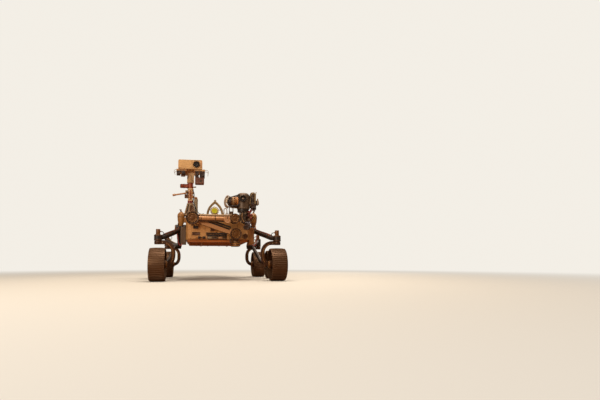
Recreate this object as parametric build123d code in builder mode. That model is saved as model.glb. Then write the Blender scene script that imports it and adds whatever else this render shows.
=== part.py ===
from build123d import *
import os
from math import cos, radians, sin

os.makedirs("parts", exist_ok=True)

# Planetary rover, millimetres. The floor is z = 0 and the origin lies on it under
# the middle of the rover. +X is the rover's left side, -Y is its front, +Z is up.

# Clearances
PIN_GAP = 0.05
RUNNING_GAP = 5.0

# Wheels
WHEEL_RADIUS = 262.5
CLEAT_HEIGHT = 7.5
CLEAT_COUNT = 48
WHEEL_WIDTH = 250.0
SKIN_THICKNESS = 6.0
RIM_RING_DEPTH = 12.0
RIM_RING_WIDTH = 46.0
SPOKE_COUNT = 8
SPOKE_THICKNESS = 9.0
WHEEL_HUB_RADIUS = 56.0
WHEEL_HUB_WIDTH = 56.0
SPINDLE_RADIUS = 25.0
SPINDLE_REACH = 20.0
DRIVE_RADIUS = 70.0
DRIVE_INBOARD = 5.0
AXLE_Z = WHEEL_RADIUS + CLEAT_HEIGHT

# Wheel stations
STEER_X = 975.0
MID_X = 1110.0
FRONT_AXLE_Y = -1230.0
MID_AXLE_Y = -150.0
REAR_AXLE_Y = 800.0

# Steering forks and actuators
FORK_CENTRE_Z = 622.0
FORK_DEPTH = 56.0
FORK_THICKNESS = 50.0
FORK_BEND = 150.0
FORK_REACH = 240.0
STEER_HOUSING_RADIUS = 62.0
STEER_HOUSING_HEIGHT = 90.0
STEER_MOTOR_RADIUS = 33.0
STEER_MOTOR_HEIGHT = 92.0
STEER_PIN_RADIUS = 24.0
STEER_PIN_HEIGHT = 40.0
FORK_TOP_Z = FORK_CENTRE_Z + FORK_DEPTH / 2
HOUSING_BOTTOM_Z = FORK_TOP_Z + RUNNING_GAP
HOUSING_TOP_Z = HOUSING_BOTTOM_Z + STEER_HOUSING_HEIGHT

# Body box
BODY_HALF_WIDTH = 540.0
BODY_FRONT_Y = -980.0
BODY_REAR_Y = 650.0
BODY_BOTTOM_Z = 690.0
BODY_TOP_Z = 1105.0
BODY_CORNER = 24.0
DECK_THICKNESS = 20.0
DECK_OVERHANG = 18.0
DECK_Z = BODY_TOP_Z + DECK_THICKNESS
PANEL_THICKNESS = 12.0
PANEL_FRONT_Y = BODY_FRONT_Y - PANEL_THICKNESS

# Rocker and bogie suspension
TUBE_RADIUS = 40.0
HUB_X = 700.0
HUB_Y = -250.0
HUB_Z = 930.0
HUB_RADIUS = 82.0
BOGIE_X = 785.0
BOGIE_Y = 330.0
BOGIE_Z = 640.0
BOGIE_HUB_RADIUS = 58.0
BOGIE_HUB_WIDTH = 90.0
DIFFERENTIAL_Y = -330.0
DIFFERENTIAL_X = 690.0
LINK_RADIUS = 12.0

# Mast
MAST_INSET = 64.0
MAST_X = MAST_INSET - BODY_HALF_WIDTH
MAST_Y = -780.0
MAST_TUBE_RADIUS = 42.0
MAST_TUBE_TOP_Z = 1598.0
MAST_CONE_TOP_Z = 1330.0
MAST_CONE_RADIUS = 100.0
MAST_PIN_RADIUS = 20.0
NECK_HALF_WIDTH = 60.0
NECK_HALF_DEPTH = 38.0
TILT_Z = 1858.0
TILT_PIN_RADIUS = 14.0
BAR_BOTTOM_Z = 1880.0
BAR_THICKNESS = 30.0
HEAD_CENTRE_X = MAST_X - 5
HEAD_HALF_WIDTH = 205.0
HEAD_FRONT_Y = -962.0
HEAD_DEPTH = 330.0
HEAD_HEIGHT = 160.0

# Arm, folded across the front
ARM_Y = -1190.0
SHOULDER_X = BODY_HALF_WIDTH - 252
SHOULDER_Z = 775.0
SHOULDER_RADIUS = 92.0
ELBOW_X = SHOULDER_X - 718
ELBOW_Z = 1024.0
ELBOW_RADIUS = 104.0
WRIST_X = SHOULDER_X - 26
WRIST_Z = 1022.0
WRIST_RADIUS = 80.0
UPPER_ARM_WIDTH = 83.0
FOREARM_RADIUS = 37.0
ARM_LAYER = 62.0
TURRET_X = WRIST_X + 148
TURRET_BOTTOM_Z = 1192.0
TURRET_TOP_Z = 1460.0
TURRET_RADIUS = 108.0
TURRET_ROUNDING = 58.0
TURRET_PIN_RADIUS = 22.0

# High-gain antenna
ANTENNA_X = 325.0
ANTENNA_Y = 150.0
ANTENNA_TILT_Z = 1500.0
DISH_RADIUS = 130.0
DISH_THICKNESS = 14.0
DISH_LEAN = 30.0

# Power source behind the body
SOURCE_Y = 1080.0
SOURCE_Z = 1030.0
SOURCE_LENGTH = 660.0
SOURCE_FIN_RADIUS = 320.0
SOURCE_END_MARGIN = 60.0
SOURCE_CORE_RADIUS = 118.0
SOURCE_TILT = 20.0
SOURCE_FIN_COUNT = 8
FIN_THICKNESS = 8.0

SIDES = (("right", -1), ("left", 1))


def disc(origin, axis, radius, amount, mode=Mode.ADD):
    """A round boss or bore from a point along an axis, in the part being built."""
    with BuildSketch(Plane(origin=origin, z_dir=axis), mode=Mode.PRIVATE) as face:
        Circle(radius)
    extrude(face.sketch, amount=amount, mode=mode)


def tube(points, radius, bend):
    """A round tube along straight runs joined by arcs, in the part being built."""
    with BuildLine(mode=Mode.PRIVATE) as route:
        if len(points) > 2:
            FilletPolyline(*points, radius=bend)
        else:
            Line(*points)
    start = Vector(*points[0])
    run = Vector(*points[1]) - start
    with BuildSketch(Plane(origin=start, z_dir=run), mode=Mode.PRIVATE) as face:
        Circle(radius)
    sweep(face.sketch, path=route.line)


def block(low, high, mode=Mode.ADD):
    """A straight block between two corners, in the part being built."""
    size = [b - a for a, b in zip(low, high)]
    with Locations(low):
        Box(*size, align=(Align.MIN, Align.MIN, Align.MIN), mode=mode)


def save(part, node):
    """Name the finished piece and write it to its own file."""
    part.label = node
    export_step(part, f"parts/{node}.step")


# Body box, deck, belly and front panel
with BuildPart() as body:
    with BuildSketch(Plane.XY.offset(BODY_BOTTOM_Z)):
        with Locations((0, (BODY_FRONT_Y + BODY_REAR_Y) / 2)):
            Rectangle(2 * BODY_HALF_WIDTH, BODY_REAR_Y - BODY_FRONT_Y)
    extrude(amount=BODY_TOP_Z - BODY_BOTTOM_Z)
    chamfer(body.edges().filter_by(Axis.Z), BODY_CORNER)
save(body.part, "chassis_body")

with BuildPart() as deck:
    with BuildSketch(Plane.XY.offset(BODY_TOP_Z)):
        with Locations((0, (BODY_FRONT_Y + BODY_REAR_Y) / 2)):
            RectangleRounded(
                2 * (BODY_HALF_WIDTH + DECK_OVERHANG),
                BODY_REAR_Y - BODY_FRONT_Y + 2 * DECK_OVERHANG,
                BODY_CORNER,
            )
    extrude(amount=DECK_THICKNESS)
    chamfer(deck.faces().sort_by(Axis.Z)[-1].edges(), DECK_THICKNESS / 4)
save(deck.part, "top_deck")

BELLY_THICKNESS = 36.0
BELLY_INSET = 30.0
RIB_DEPTH = 12.0
with BuildPart() as belly:
    with BuildSketch(Plane.XY.offset(BODY_BOTTOM_Z - BELLY_THICKNESS)):
        with Locations((0, (BODY_FRONT_Y + BODY_REAR_Y) / 2)):
            RectangleRounded(
                2 * (BODY_HALF_WIDTH - BELLY_INSET),
                BODY_REAR_Y - BODY_FRONT_Y - 2 * BELLY_INSET,
                BODY_CORNER,
            )
    extrude(amount=BELLY_THICKNESS)
    with BuildSketch(Plane.XY.offset(BODY_BOTTOM_Z - BELLY_THICKNESS - RIB_DEPTH)):
        with Locations((0, (BODY_FRONT_Y + BODY_REAR_Y) / 2)):
            with GridLocations(0, (BODY_REAR_Y - BODY_FRONT_Y) / 5, 1, 4):
                Rectangle(2 * (BODY_HALF_WIDTH - 2 * BELLY_INSET), 24)
            with GridLocations(BODY_HALF_WIDTH, 0, 2, 1):
                Rectangle(24, BODY_REAR_Y - BODY_FRONT_Y - 4 * BELLY_INSET)
    extrude(amount=RIB_DEPTH)
save(belly.part, "belly_pan")

# The front panel's openings and pads: centre x, centre z, width, height, cut or pad depth
PANEL_MARGIN = 14.0
PANEL_SLOTS = (
    (-24, 800, 340, 17, -8),
    (-24, 766, 340, 17, -8),
    (-142, 724, 74, 34, -8),
    (-50, 724, 74, 34, -8),
    (42, 724, 74, 34, -8),
    (118, 724, 44, 34, -8),
)
PANEL_PADS = (
    (-92, 864, 70, 58, 8),
    (-370, 791, 128, 50, 8),
    (-374, 898, 86, 42, 8),
    (-24, 862, 30, 58, 6),
    (90, 864, 90, 30, 6),
    (-314, 722, 100, 26, 8),
    (478, 750, 70, 96, 8),
)
with BuildPart() as front_panel:
    with BuildSketch(Plane.XZ.offset(-BODY_FRONT_Y)):
        with Locations((0, (BODY_TOP_Z + BODY_BOTTOM_Z) / 2)):
            RectangleRounded(
                2 * (BODY_HALF_WIDTH - BODY_CORNER - PANEL_MARGIN),
                BODY_TOP_Z - BODY_BOTTOM_Z - 2 * PANEL_MARGIN,
                BODY_CORNER,
            )
    extrude(amount=PANEL_THICKNESS)
    for x, z, width, height, depth in PANEL_SLOTS:
        with BuildSketch(Plane.XZ.offset(-PANEL_FRONT_Y)):
            with Locations((x, z)):
                Rectangle(width, height)
        extrude(amount=depth, mode=Mode.SUBTRACT)
    for x, z, width, height, depth in PANEL_PADS:
        with BuildSketch(Plane.XZ.offset(-PANEL_FRONT_Y)):
            with Locations((x, z)):
                Rectangle(width, height)
        extrude(amount=depth)
save(front_panel.part, "front_panel")

# Housings on the body's flanks, behind its front corners
SIDE_BOX_WIDTH = 88.0
SIDE_BOX_FRONT_Y = -950.0
SIDE_BOX_DEPTH = 240.0
SIDE_BOX_BOTTOM_Z = 612.0
SIDE_BOX_TOP_Z = 905.0
LOBE_GAP = 28.0
LOBE_Y = -885.0
LOBE_RADIUS = 60.0
LOBE_X = BODY_HALF_WIDTH + LOBE_GAP + LOBE_RADIUS
LOBE_BOTTOM_Z = 925.0
LOBE_TOP_Z = 1175.0
LOBE_FOOT_RADIUS = 30.0
LOBE_WIDEST_Z = 1075.0
LOBE_BRACKET_HALF = 25.0
LOBE_BRACKET_LOW = 60.0
LOBE_BRACKET_HIGH = 150.0
WHIP_RADIUS = 7.0
WHIP_HEIGHT = 50.0
with BuildPart() as side_boxes:
    with BuildSketch(Plane.XY.offset(SIDE_BOX_BOTTOM_Z)):
        with Locations((BODY_HALF_WIDTH + SIDE_BOX_WIDTH / 2, SIDE_BOX_FRONT_Y + SIDE_BOX_DEPTH / 2)):
            Rectangle(SIDE_BOX_WIDTH, SIDE_BOX_DEPTH)
    extrude(amount=SIDE_BOX_TOP_Z - SIDE_BOX_BOTTOM_Z)
    fillet(side_boxes.faces().sort_by(Axis.X)[-1].edges(), 18)
    mirror(about=Plane.YZ)
save(side_boxes.part, "side_housings")

with BuildPart() as lobes:
    with BuildSketch(Plane(origin=(LOBE_X, LOBE_Y, 0), x_dir=(1, 0, 0), z_dir=(0, -1, 0))):
        with BuildLine():
            flank = (LOBE_RADIUS - 7, (LOBE_BOTTOM_Z + LOBE_WIDEST_Z) / 2)
            shoulder_bend = (0.8 * LOBE_RADIUS, LOBE_TOP_Z - 32)
            Line((0, LOBE_TOP_Z), (0, LOBE_BOTTOM_Z))
            Line((0, LOBE_BOTTOM_Z), (LOBE_FOOT_RADIUS, LOBE_BOTTOM_Z))
            ThreePointArc((LOBE_FOOT_RADIUS, LOBE_BOTTOM_Z), flank, (LOBE_RADIUS, LOBE_WIDEST_Z))
            ThreePointArc((LOBE_RADIUS, LOBE_WIDEST_Z), shoulder_bend, (0, LOBE_TOP_Z))
        make_face()
    revolve(axis=Axis((LOBE_X, LOBE_Y, 0), (0, 0, 1)))
    block(
        (BODY_HALF_WIDTH, LOBE_Y - LOBE_BRACKET_HALF, LOBE_BOTTOM_Z + LOBE_BRACKET_LOW),
        (LOBE_X, LOBE_Y + LOBE_BRACKET_HALF, LOBE_BOTTOM_Z + LOBE_BRACKET_HIGH),
    )
    disc((LOBE_X, LOBE_Y, LOBE_TOP_Z - 10), (0, 0, 1), WHIP_RADIUS, WHIP_HEIGHT)
    mirror(about=Plane.YZ)
save(lobes.part, "corner_housings")

# Rockers: hub, front arm to the front steering housing, rear arm to the bogie pivot
BOGIE_JOIN_X = BOGIE_X - BOGIE_HUB_WIDTH / 2
for side, sign in SIDES:
    with BuildPart() as rocker:
        disc(
            (sign * BODY_HALF_WIDTH, HUB_Y, HUB_Z),
            (sign, 0, 0),
            HUB_RADIUS,
            HUB_X + TUBE_RADIUS + 12 - BODY_HALF_WIDTH,
        )
        front_route = (
            (sign * HUB_X, HUB_Y, HUB_Z),
            (sign * HUB_X, -800, 838),
            (sign * 890, -1150, HOUSING_BOTTOM_Z + 62),
            (sign * STEER_X, FRONT_AXLE_Y, HOUSING_BOTTOM_Z + 48),
        )
        tube(front_route, TUBE_RADIUS, 90)
        rear_route = (
            (sign * HUB_X, HUB_Y, HUB_Z),
            (sign * (BOGIE_JOIN_X - TUBE_RADIUS - 4), BOGIE_Y, BOGIE_Z),
        )
        tube(rear_route, TUBE_RADIUS, 90)
        disc(
            (sign * (BOGIE_JOIN_X - 72), BOGIE_Y, BOGIE_Z),
            (sign, 0, 0),
            BOGIE_HUB_RADIUS,
            72,
        )
        steer_centre = (sign * STEER_X, FRONT_AXLE_Y, HOUSING_BOTTOM_Z)
        disc(steer_centre, (0, 0, 1), STEER_HOUSING_RADIUS, STEER_HOUSING_HEIGHT)
        motor_base = (sign * STEER_X, FRONT_AXLE_Y, HOUSING_TOP_Z)
        disc(motor_base, (0, 0, 1), STEER_MOTOR_RADIUS, STEER_MOTOR_HEIGHT)
        disc(
            steer_centre,
            (0, 0, 1),
            STEER_PIN_RADIUS + PIN_GAP,
            STEER_PIN_HEIGHT,
            mode=Mode.SUBTRACT,
        )
        lug_x = sign * DIFFERENTIAL_X
        block(
            (lug_x - 20, DIFFERENTIAL_Y - 24, HUB_Z),
            (lug_x + 20, HUB_Y, HUB_Z + 70),
        )
    save(rocker.part, f"rocker_{side}")

# Bogies: pivot hub, front arm to the middle wheel, rear arm to the rear steering housing
MID_DRIVE_INNER_X = MID_X - WHEEL_WIDTH / 2 - DRIVE_INBOARD
MID_DRIVE_OUTER_X = MID_X - WHEEL_HUB_WIDTH / 2 - RUNNING_GAP
for side, sign in SIDES:
    with BuildPart() as bogie:
        disc(
            (sign * BOGIE_JOIN_X, BOGIE_Y, BOGIE_Z),
            (sign, 0, 0),
            BOGIE_HUB_RADIUS,
            BOGIE_HUB_WIDTH,
        )
        mid_route = (
            (sign * BOGIE_X, BOGIE_Y, BOGIE_Z),
            (sign * 890, MID_AXLE_Y + 90, AXLE_Z + 60),
            (sign * (MID_DRIVE_INNER_X + 40), MID_AXLE_Y, AXLE_Z),
        )
        tube(mid_route, TUBE_RADIUS - 4, 60)
        rear_route = (
            (sign * BOGIE_X, BOGIE_Y, BOGIE_Z),
            (sign * STEER_X, REAR_AXLE_Y, HOUSING_BOTTOM_Z + 125),
        )
        tube(rear_route, TUBE_RADIUS - 4, 60)
        disc(
            (sign * MID_DRIVE_INNER_X, MID_AXLE_Y, AXLE_Z),
            (sign, 0, 0),
            DRIVE_RADIUS,
            MID_DRIVE_OUTER_X - MID_DRIVE_INNER_X,
        )
        disc(
            (sign * MID_DRIVE_OUTER_X, MID_AXLE_Y, AXLE_Z),
            (sign, 0, 0),
            SPINDLE_RADIUS,
            MID_X + SPINDLE_REACH - MID_DRIVE_OUTER_X,
        )
        steer_centre = (sign * STEER_X, REAR_AXLE_Y, HOUSING_BOTTOM_Z)
        disc(
            steer_centre,
            (0, 0, 1),
            STEER_HOUSING_RADIUS,
            STEER_HOUSING_HEIGHT + 70,
        )
        motor_base = (sign * STEER_X, REAR_AXLE_Y, HOUSING_TOP_Z + 70)
        disc(motor_base, (0, 0, 1), STEER_MOTOR_RADIUS, STEER_MOTOR_HEIGHT)
        disc(
            steer_centre,
            (0, 0, 1),
            STEER_PIN_RADIUS + PIN_GAP,
            STEER_PIN_HEIGHT,
            mode=Mode.SUBTRACT,
        )
    save(bogie.part, f"bogie_{side}")

# The differential bar over the deck, its centre pivot and the links down to the rockers
BAR_Z = DECK_Z + 34
BAR_HEIGHT = 36.0
with BuildPart() as differential:
    with BuildSketch(Plane.XY.offset(BAR_Z)):
        with BuildLine():
            Polyline(
                (-DIFFERENTIAL_X - 24, DIFFERENTIAL_Y - 20),
                (0, DIFFERENTIAL_Y - 38),
                (DIFFERENTIAL_X + 24, DIFFERENTIAL_Y - 20),
                (DIFFERENTIAL_X + 24, DIFFERENTIAL_Y + 20),
                (0, DIFFERENTIAL_Y + 38),
                (-DIFFERENTIAL_X - 24, DIFFERENTIAL_Y + 20),
                close=True,
            )
        make_face()
    extrude(amount=BAR_HEIGHT)
    disc((0, DIFFERENTIAL_Y, DECK_Z), (0, 0, 1), 46, BAR_Z + BAR_HEIGHT + 12 - DECK_Z)
    for side, sign in SIDES:
        link_foot = (sign * DIFFERENTIAL_X, DIFFERENTIAL_Y, HUB_Z + 70)
        disc(link_foot, (0, 0, 1), LINK_RADIUS, BAR_Z + BAR_HEIGHT - HUB_Z - 70)
save(differential.part, "differential_bar")

# Steering forks: C-shaped legs with a pin on top and the wheel drive at the bottom
# Stations: name, side sign, axle y
FORKS = (
    ("front_right", -1, FRONT_AXLE_Y),
    ("front_left", 1, FRONT_AXLE_Y),
    ("rear_right", -1, REAR_AXLE_Y),
    ("rear_left", 1, REAR_AXLE_Y),
)
DRIVE_INNER_X = STEER_X - WHEEL_WIDTH / 2 - DRIVE_INBOARD
DRIVE_OUTER_X = STEER_X - WHEEL_HUB_WIDTH / 2 - RUNNING_GAP
for name, sign, axle_y in FORKS:
    with BuildPart() as fork:
        with BuildLine(Plane(origin=(0, axle_y, 0), x_dir=(1, 0, 0), z_dir=(0, -1, 0))) as leg:
            FilletPolyline(
                (sign * STEER_X, FORK_CENTRE_Z),
                (sign * (STEER_X - FORK_REACH), FORK_CENTRE_Z),
                (sign * (STEER_X - FORK_REACH), AXLE_Z),
                (sign * (DRIVE_INNER_X + 20), AXLE_Z),
                radius=(FORK_BEND, DRIVE_INNER_X + 20 - STEER_X + FORK_REACH - 10),
            )
        with BuildSketch(
            Plane(origin=(sign * STEER_X, axle_y, FORK_CENTRE_Z), x_dir=(0, 1, 0), z_dir=(-sign, 0, 0))
        ):
            Rectangle(FORK_THICKNESS, FORK_DEPTH)
        sweep(path=leg.line)
        disc(
            (sign * STEER_X, axle_y, FORK_CENTRE_Z - FORK_DEPTH / 2),
            (0, 0, 1),
            STEER_HOUSING_RADIUS - 6,
            FORK_DEPTH,
        )
        disc((sign * STEER_X, axle_y, FORK_TOP_Z), (0, 0, 1), STEER_PIN_RADIUS, STEER_PIN_HEIGHT)
        disc(
            (sign * DRIVE_INNER_X, axle_y, AXLE_Z),
            (sign, 0, 0),
            DRIVE_RADIUS,
            DRIVE_OUTER_X - DRIVE_INNER_X,
        )
        disc(
            (sign * DRIVE_OUTER_X, axle_y, AXLE_Z),
            (sign, 0, 0),
            SPINDLE_RADIUS,
            STEER_X + SPINDLE_REACH - DRIVE_OUTER_X,
        )
    save(fork.part, f"steering_fork_{name}")

# Wheels: cleated skin, inner ring, curved spokes and hub
# Stations: name, side sign, centre x, axle y
WHEELS = (
    ("front_right", -1, STEER_X, FRONT_AXLE_Y),
    ("front_left", 1, STEER_X, FRONT_AXLE_Y),
    ("mid_right", -1, MID_X, MID_AXLE_Y),
    ("mid_left", 1, MID_X, MID_AXLE_Y),
    ("rear_right", -1, STEER_X, REAR_AXLE_Y),
    ("rear_left", 1, STEER_X, REAR_AXLE_Y),
)
CLEAT_PITCH = 360 / CLEAT_COUNT
# One cleat as angle and radius: root, flank, crest, crest
CLEAT_SHAPE = ((0.0, 0.0), (0.56, 0.0), (0.68, CLEAT_HEIGHT), (0.88, CLEAT_HEIGHT))
tread_points = []
for cleat in range(CLEAT_COUNT):
    for share, rise in CLEAT_SHAPE:
        angle = radians((cleat + share) * CLEAT_PITCH)
        reach = WHEEL_RADIUS + rise
        tread_points.append((reach * cos(angle), reach * sin(angle)))
for name, sign, centre_x, axle_y in WHEELS:
    middle = Plane(origin=(sign * centre_x, axle_y, AXLE_Z), x_dir=(0, 1, 0), z_dir=(sign, 0, 0))
    with BuildPart() as wheel:
        with BuildSketch(middle):
            with BuildLine():
                Polyline(*tread_points, close=True)
            make_face()
            RegularPolygon(WHEEL_RADIUS - SKIN_THICKNESS, CLEAT_COUNT, mode=Mode.SUBTRACT)
        extrude(amount=WHEEL_WIDTH / 2, both=True)
        ring_outer = WHEEL_RADIUS - SKIN_THICKNESS + 2
        ring_inner = ring_outer - RIM_RING_DEPTH
        with BuildSketch(middle):
            RegularPolygon(ring_outer, CLEAT_COUNT)
            RegularPolygon(ring_inner, CLEAT_COUNT, mode=Mode.SUBTRACT)
        extrude(amount=RIM_RING_WIDTH / 2, both=True)
        with BuildSketch(middle):
            with PolarLocations(0, SPOKE_COUNT):
                with BuildLine(mode=Mode.PRIVATE) as spoke_arc:
                    RadiusArc((WHEEL_HUB_RADIUS - 4, 0), (ring_inner + 3, 60), 130)
                SlotArc(spoke_arc.edge(), SPOKE_THICKNESS)
        extrude(amount=RIM_RING_WIDTH / 2 - 4, both=True)
        with BuildSketch(middle):
            Circle(WHEEL_HUB_RADIUS)
        extrude(amount=WHEEL_HUB_WIDTH / 2, both=True)
        with BuildSketch(middle.offset(-WHEEL_HUB_WIDTH / 2)):
            Circle(SPINDLE_RADIUS + PIN_GAP)
        extrude(amount=WHEEL_HUB_WIDTH / 2 + SPINDLE_REACH + 1, mode=Mode.SUBTRACT)
    save(wheel.part, f"wheel_{name}")

# Mast: base cone and tube on the deck, with a pin on top for the turning stage
MAST_FLANGE_HEIGHT = 16.0
MAST_CONE_TOP_RADIUS = 62.0
MAST_PIN_HEIGHT = 42.0
with BuildPart() as mast_base:
    with BuildSketch(Plane(origin=(MAST_X, MAST_Y, 0), x_dir=(1, 0, 0), z_dir=(0, -1, 0))):
        with BuildLine():
            Polyline(
                (MAST_TUBE_RADIUS + PIN_GAP, DECK_Z),
                (MAST_CONE_RADIUS + 6, DECK_Z),
                (MAST_CONE_RADIUS + 6, DECK_Z + MAST_FLANGE_HEIGHT),
                (MAST_CONE_RADIUS, DECK_Z + MAST_FLANGE_HEIGHT),
                (MAST_CONE_RADIUS - 4, DECK_Z + 60),
                (MAST_CONE_TOP_RADIUS, MAST_CONE_TOP_Z - 20),
                (MAST_CONE_TOP_RADIUS, MAST_CONE_TOP_Z),
                (MAST_TUBE_RADIUS + PIN_GAP, MAST_CONE_TOP_Z),
                close=True,
            )
        make_face()
    revolve(axis=Axis((MAST_X, MAST_Y, 0), (0, 0, 1)))
save(mast_base.part, "mast_base")

with BuildPart() as mast_tube:
    disc((MAST_X, MAST_Y, DECK_Z), (0, 0, 1), MAST_TUBE_RADIUS, MAST_TUBE_TOP_Z - DECK_Z)
    disc((MAST_X, MAST_Y, MAST_CONE_TOP_Z + 18), (0, 0, 1), MAST_TUBE_RADIUS + 4, 36)
    disc((MAST_X, MAST_Y, MAST_TUBE_TOP_Z - 20), (0, 0, 1), MAST_TUBE_RADIUS + 9, 20)
    disc((MAST_X, MAST_Y, MAST_TUBE_TOP_Z), (0, 0, 1), MAST_PIN_RADIUS, MAST_PIN_HEIGHT)
save(mast_tube.part, "mast_tube")

# Two weather booms clamped on the mast tube: collar z, and the boom's root and tip
COLLAR_HEIGHT = 40.0
COLLAR_RADIUS = 56.0
BOOM_RADIUS = 14.0
SENSOR_RADIUS = 19.0
BOOMS = (
    (1522, (-44, -6, 0), (-292, -44, -52)),
    (1455, (22, 38, 0), (100, 176, 10)),
)
with BuildPart() as booms:
    for collar_z, root, tip in BOOMS:
        collar = (MAST_X, MAST_Y, collar_z - COLLAR_HEIGHT / 2)
        disc(collar, (0, 0, 1), COLLAR_RADIUS, COLLAR_HEIGHT)
        start = (MAST_X + root[0], MAST_Y + root[1], collar_z + root[2])
        end = (MAST_X + tip[0], MAST_Y + tip[1], collar_z + tip[2])
        tube((start, end), BOOM_RADIUS, 0)
        reach = Vector(*end) - Vector(*start)
        disc(Vector(*end) - reach.normalized() * 34, reach, SENSOR_RADIUS, 46)
        disc(collar, (0, 0, 1), MAST_TUBE_RADIUS + PIN_GAP, COLLAR_HEIGHT, mode=Mode.SUBTRACT)
save(booms.part, "weather_booms")

# Turning stage of the mast, with its drive lying across it
STAGE_BOTTOM_Z = MAST_TUBE_TOP_Z + RUNNING_GAP
STAGE_TOP_Z = 1700.0
STAGE_RADIUS = 48.0
AZIMUTH_DRIVE_Z = 1643.0
AZIMUTH_DRIVE_RADIUS = 36.0
AZIMUTH_DRIVE_END_X = MAST_X - 168
with BuildPart() as stage:
    disc((MAST_X, MAST_Y, STAGE_BOTTOM_Z), (0, 0, 1), STAGE_RADIUS, STAGE_TOP_Z - STAGE_BOTTOM_Z)
    disc(
        (AZIMUTH_DRIVE_END_X, MAST_Y, AZIMUTH_DRIVE_Z),
        (1, 0, 0),
        AZIMUTH_DRIVE_RADIUS,
        MAST_X - AZIMUTH_DRIVE_END_X,
    )
    disc(
        (MAST_X, MAST_Y, STAGE_BOTTOM_Z),
        (0, 0, 1),
        MAST_PIN_RADIUS + PIN_GAP,
        MAST_PIN_HEIGHT,
        mode=Mode.SUBTRACT,
    )
save(stage.part, "mast_turning_stage")

TILT_CHEEK = 25.0
with BuildPart() as neck:
    block(
        (MAST_X - NECK_HALF_WIDTH, MAST_Y - NECK_HALF_DEPTH, STAGE_TOP_Z),
        (MAST_X + NECK_HALF_WIDTH, MAST_Y + NECK_HALF_DEPTH, TILT_Z),
    )
    disc((MAST_X - NECK_HALF_WIDTH, MAST_Y, TILT_Z), (1, 0, 0), NECK_HALF_DEPTH, 2 * NECK_HALF_WIDTH)
    pin_reach = NECK_HALF_WIDTH + RUNNING_GAP + TILT_CHEEK
    disc((MAST_X - pin_reach, MAST_Y, TILT_Z), (1, 0, 0), TILT_PIN_RADIUS, 2 * pin_reach)
save(neck.part, "mast_neck")

# Camera bar: two plates under the head, each with a cheek that turns on the neck's pin
BAR_LEFT_X = MAST_X + 250
BAR_RIGHT_X = MAST_X - 240
BAR_FRONT_Y = -935.0
BAR_REAR_Y = -640.0
CHEEK_RADIUS = 32.0
BAR_TOP_Z = BAR_BOTTOM_Z + BAR_THICKNESS
cheek_inner = NECK_HALF_WIDTH + RUNNING_GAP
with BuildPart() as camera_bar:
    block((BAR_RIGHT_X, BAR_FRONT_Y, BAR_BOTTOM_Z), (MAST_X - cheek_inner, BAR_REAR_Y, BAR_TOP_Z))
    block((MAST_X + cheek_inner, BAR_FRONT_Y, BAR_BOTTOM_Z), (BAR_LEFT_X, BAR_REAR_Y, BAR_TOP_Z))
    for cheek_x in (MAST_X - cheek_inner - TILT_CHEEK, MAST_X + cheek_inner):
        block(
            (cheek_x, MAST_Y - CHEEK_RADIUS, TILT_Z),
            (cheek_x + TILT_CHEEK, MAST_Y + CHEEK_RADIUS, BAR_BOTTOM_Z),
        )
        disc((cheek_x, MAST_Y, TILT_Z), (1, 0, 0), CHEEK_RADIUS, TILT_CHEEK)
        disc(
            (cheek_x, MAST_Y, TILT_Z),
            (1, 0, 0),
            TILT_PIN_RADIUS + PIN_GAP,
            TILT_CHEEK,
            mode=Mode.SUBTRACT,
        )
save(camera_bar.part, "camera_bar")

# Cameras under the bar: centre x from the mast, width, height, lens radius, lens centre below the bar
CAMERA_DEPTH = 84.0
LENS_LENGTH = 16.0
CAMERAS = (
    (-206, 62, 70, 25, 36),
    (-122, 66, 56, 19, 30),
    (111, 62, 104, 24, 44),
    (201, 88, 110, 32, 58),
)
POD_X = (MAST_X + 78, MAST_X + 235)
POD_HEIGHT = 122.0
with BuildPart() as cameras:
    for from_mast, width, height, lens, drop in CAMERAS:
        centre_x = MAST_X + from_mast
        block(
            (centre_x - width / 2, BAR_FRONT_Y, BAR_BOTTOM_Z - height),
            (centre_x + width / 2, BAR_FRONT_Y + CAMERA_DEPTH, BAR_BOTTOM_Z),
        )
        lens_centre = (centre_x, BAR_FRONT_Y, BAR_BOTTOM_Z - drop)
        disc(lens_centre, (0, -1, 0), lens, LENS_LENGTH)
        lens_mouth = (centre_x, BAR_FRONT_Y - LENS_LENGTH, BAR_BOTTOM_Z - drop)
        disc(lens_mouth, (0, 1, 0), lens - 5, 8, mode=Mode.SUBTRACT)
save(cameras.part, "mast_cameras")

pod_top = BAR_BOTTOM_Z - CAMERAS[-1][2]
with BuildPart() as pod:
    block((POD_X[0], BAR_FRONT_Y + 4, pod_top - POD_HEIGHT), (POD_X[1], BAR_FRONT_Y + CAMERA_DEPTH, pod_top))
    fillet(pod.faces().sort_by(Axis.Z)[0].edges(), 24)
save(pod.part, "camera_pod")

# Head: a rounded box with a round window
WINDOW_X = MAST_X + 101
WINDOW_RADIUS = 54.0
WINDOW_RECESS = 8.0
GLASS_THICKNESS = 5.0
BEZEL_WIDTH = 9.0
BEZEL_DEPTH = 7.0
with BuildPart() as head:
    block(
        (HEAD_CENTRE_X - HEAD_HALF_WIDTH, HEAD_FRONT_Y + BEZEL_DEPTH, BAR_TOP_Z),
        (HEAD_CENTRE_X + HEAD_HALF_WIDTH, HEAD_FRONT_Y + HEAD_DEPTH, BAR_TOP_Z + HEAD_HEIGHT),
    )
    fillet(head.edges().filter_by(Axis.Y), 22)
    window_centre = (WINDOW_X, HEAD_FRONT_Y, BAR_TOP_Z + HEAD_HEIGHT / 2)
    disc(window_centre, (0, 1, 0), WINDOW_RADIUS + BEZEL_WIDTH, BEZEL_DEPTH)
    disc(window_centre, (0, 1, 0), WINDOW_RADIUS, BEZEL_DEPTH + WINDOW_RECESS, mode=Mode.SUBTRACT)
save(head.part, "mast_head")

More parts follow.
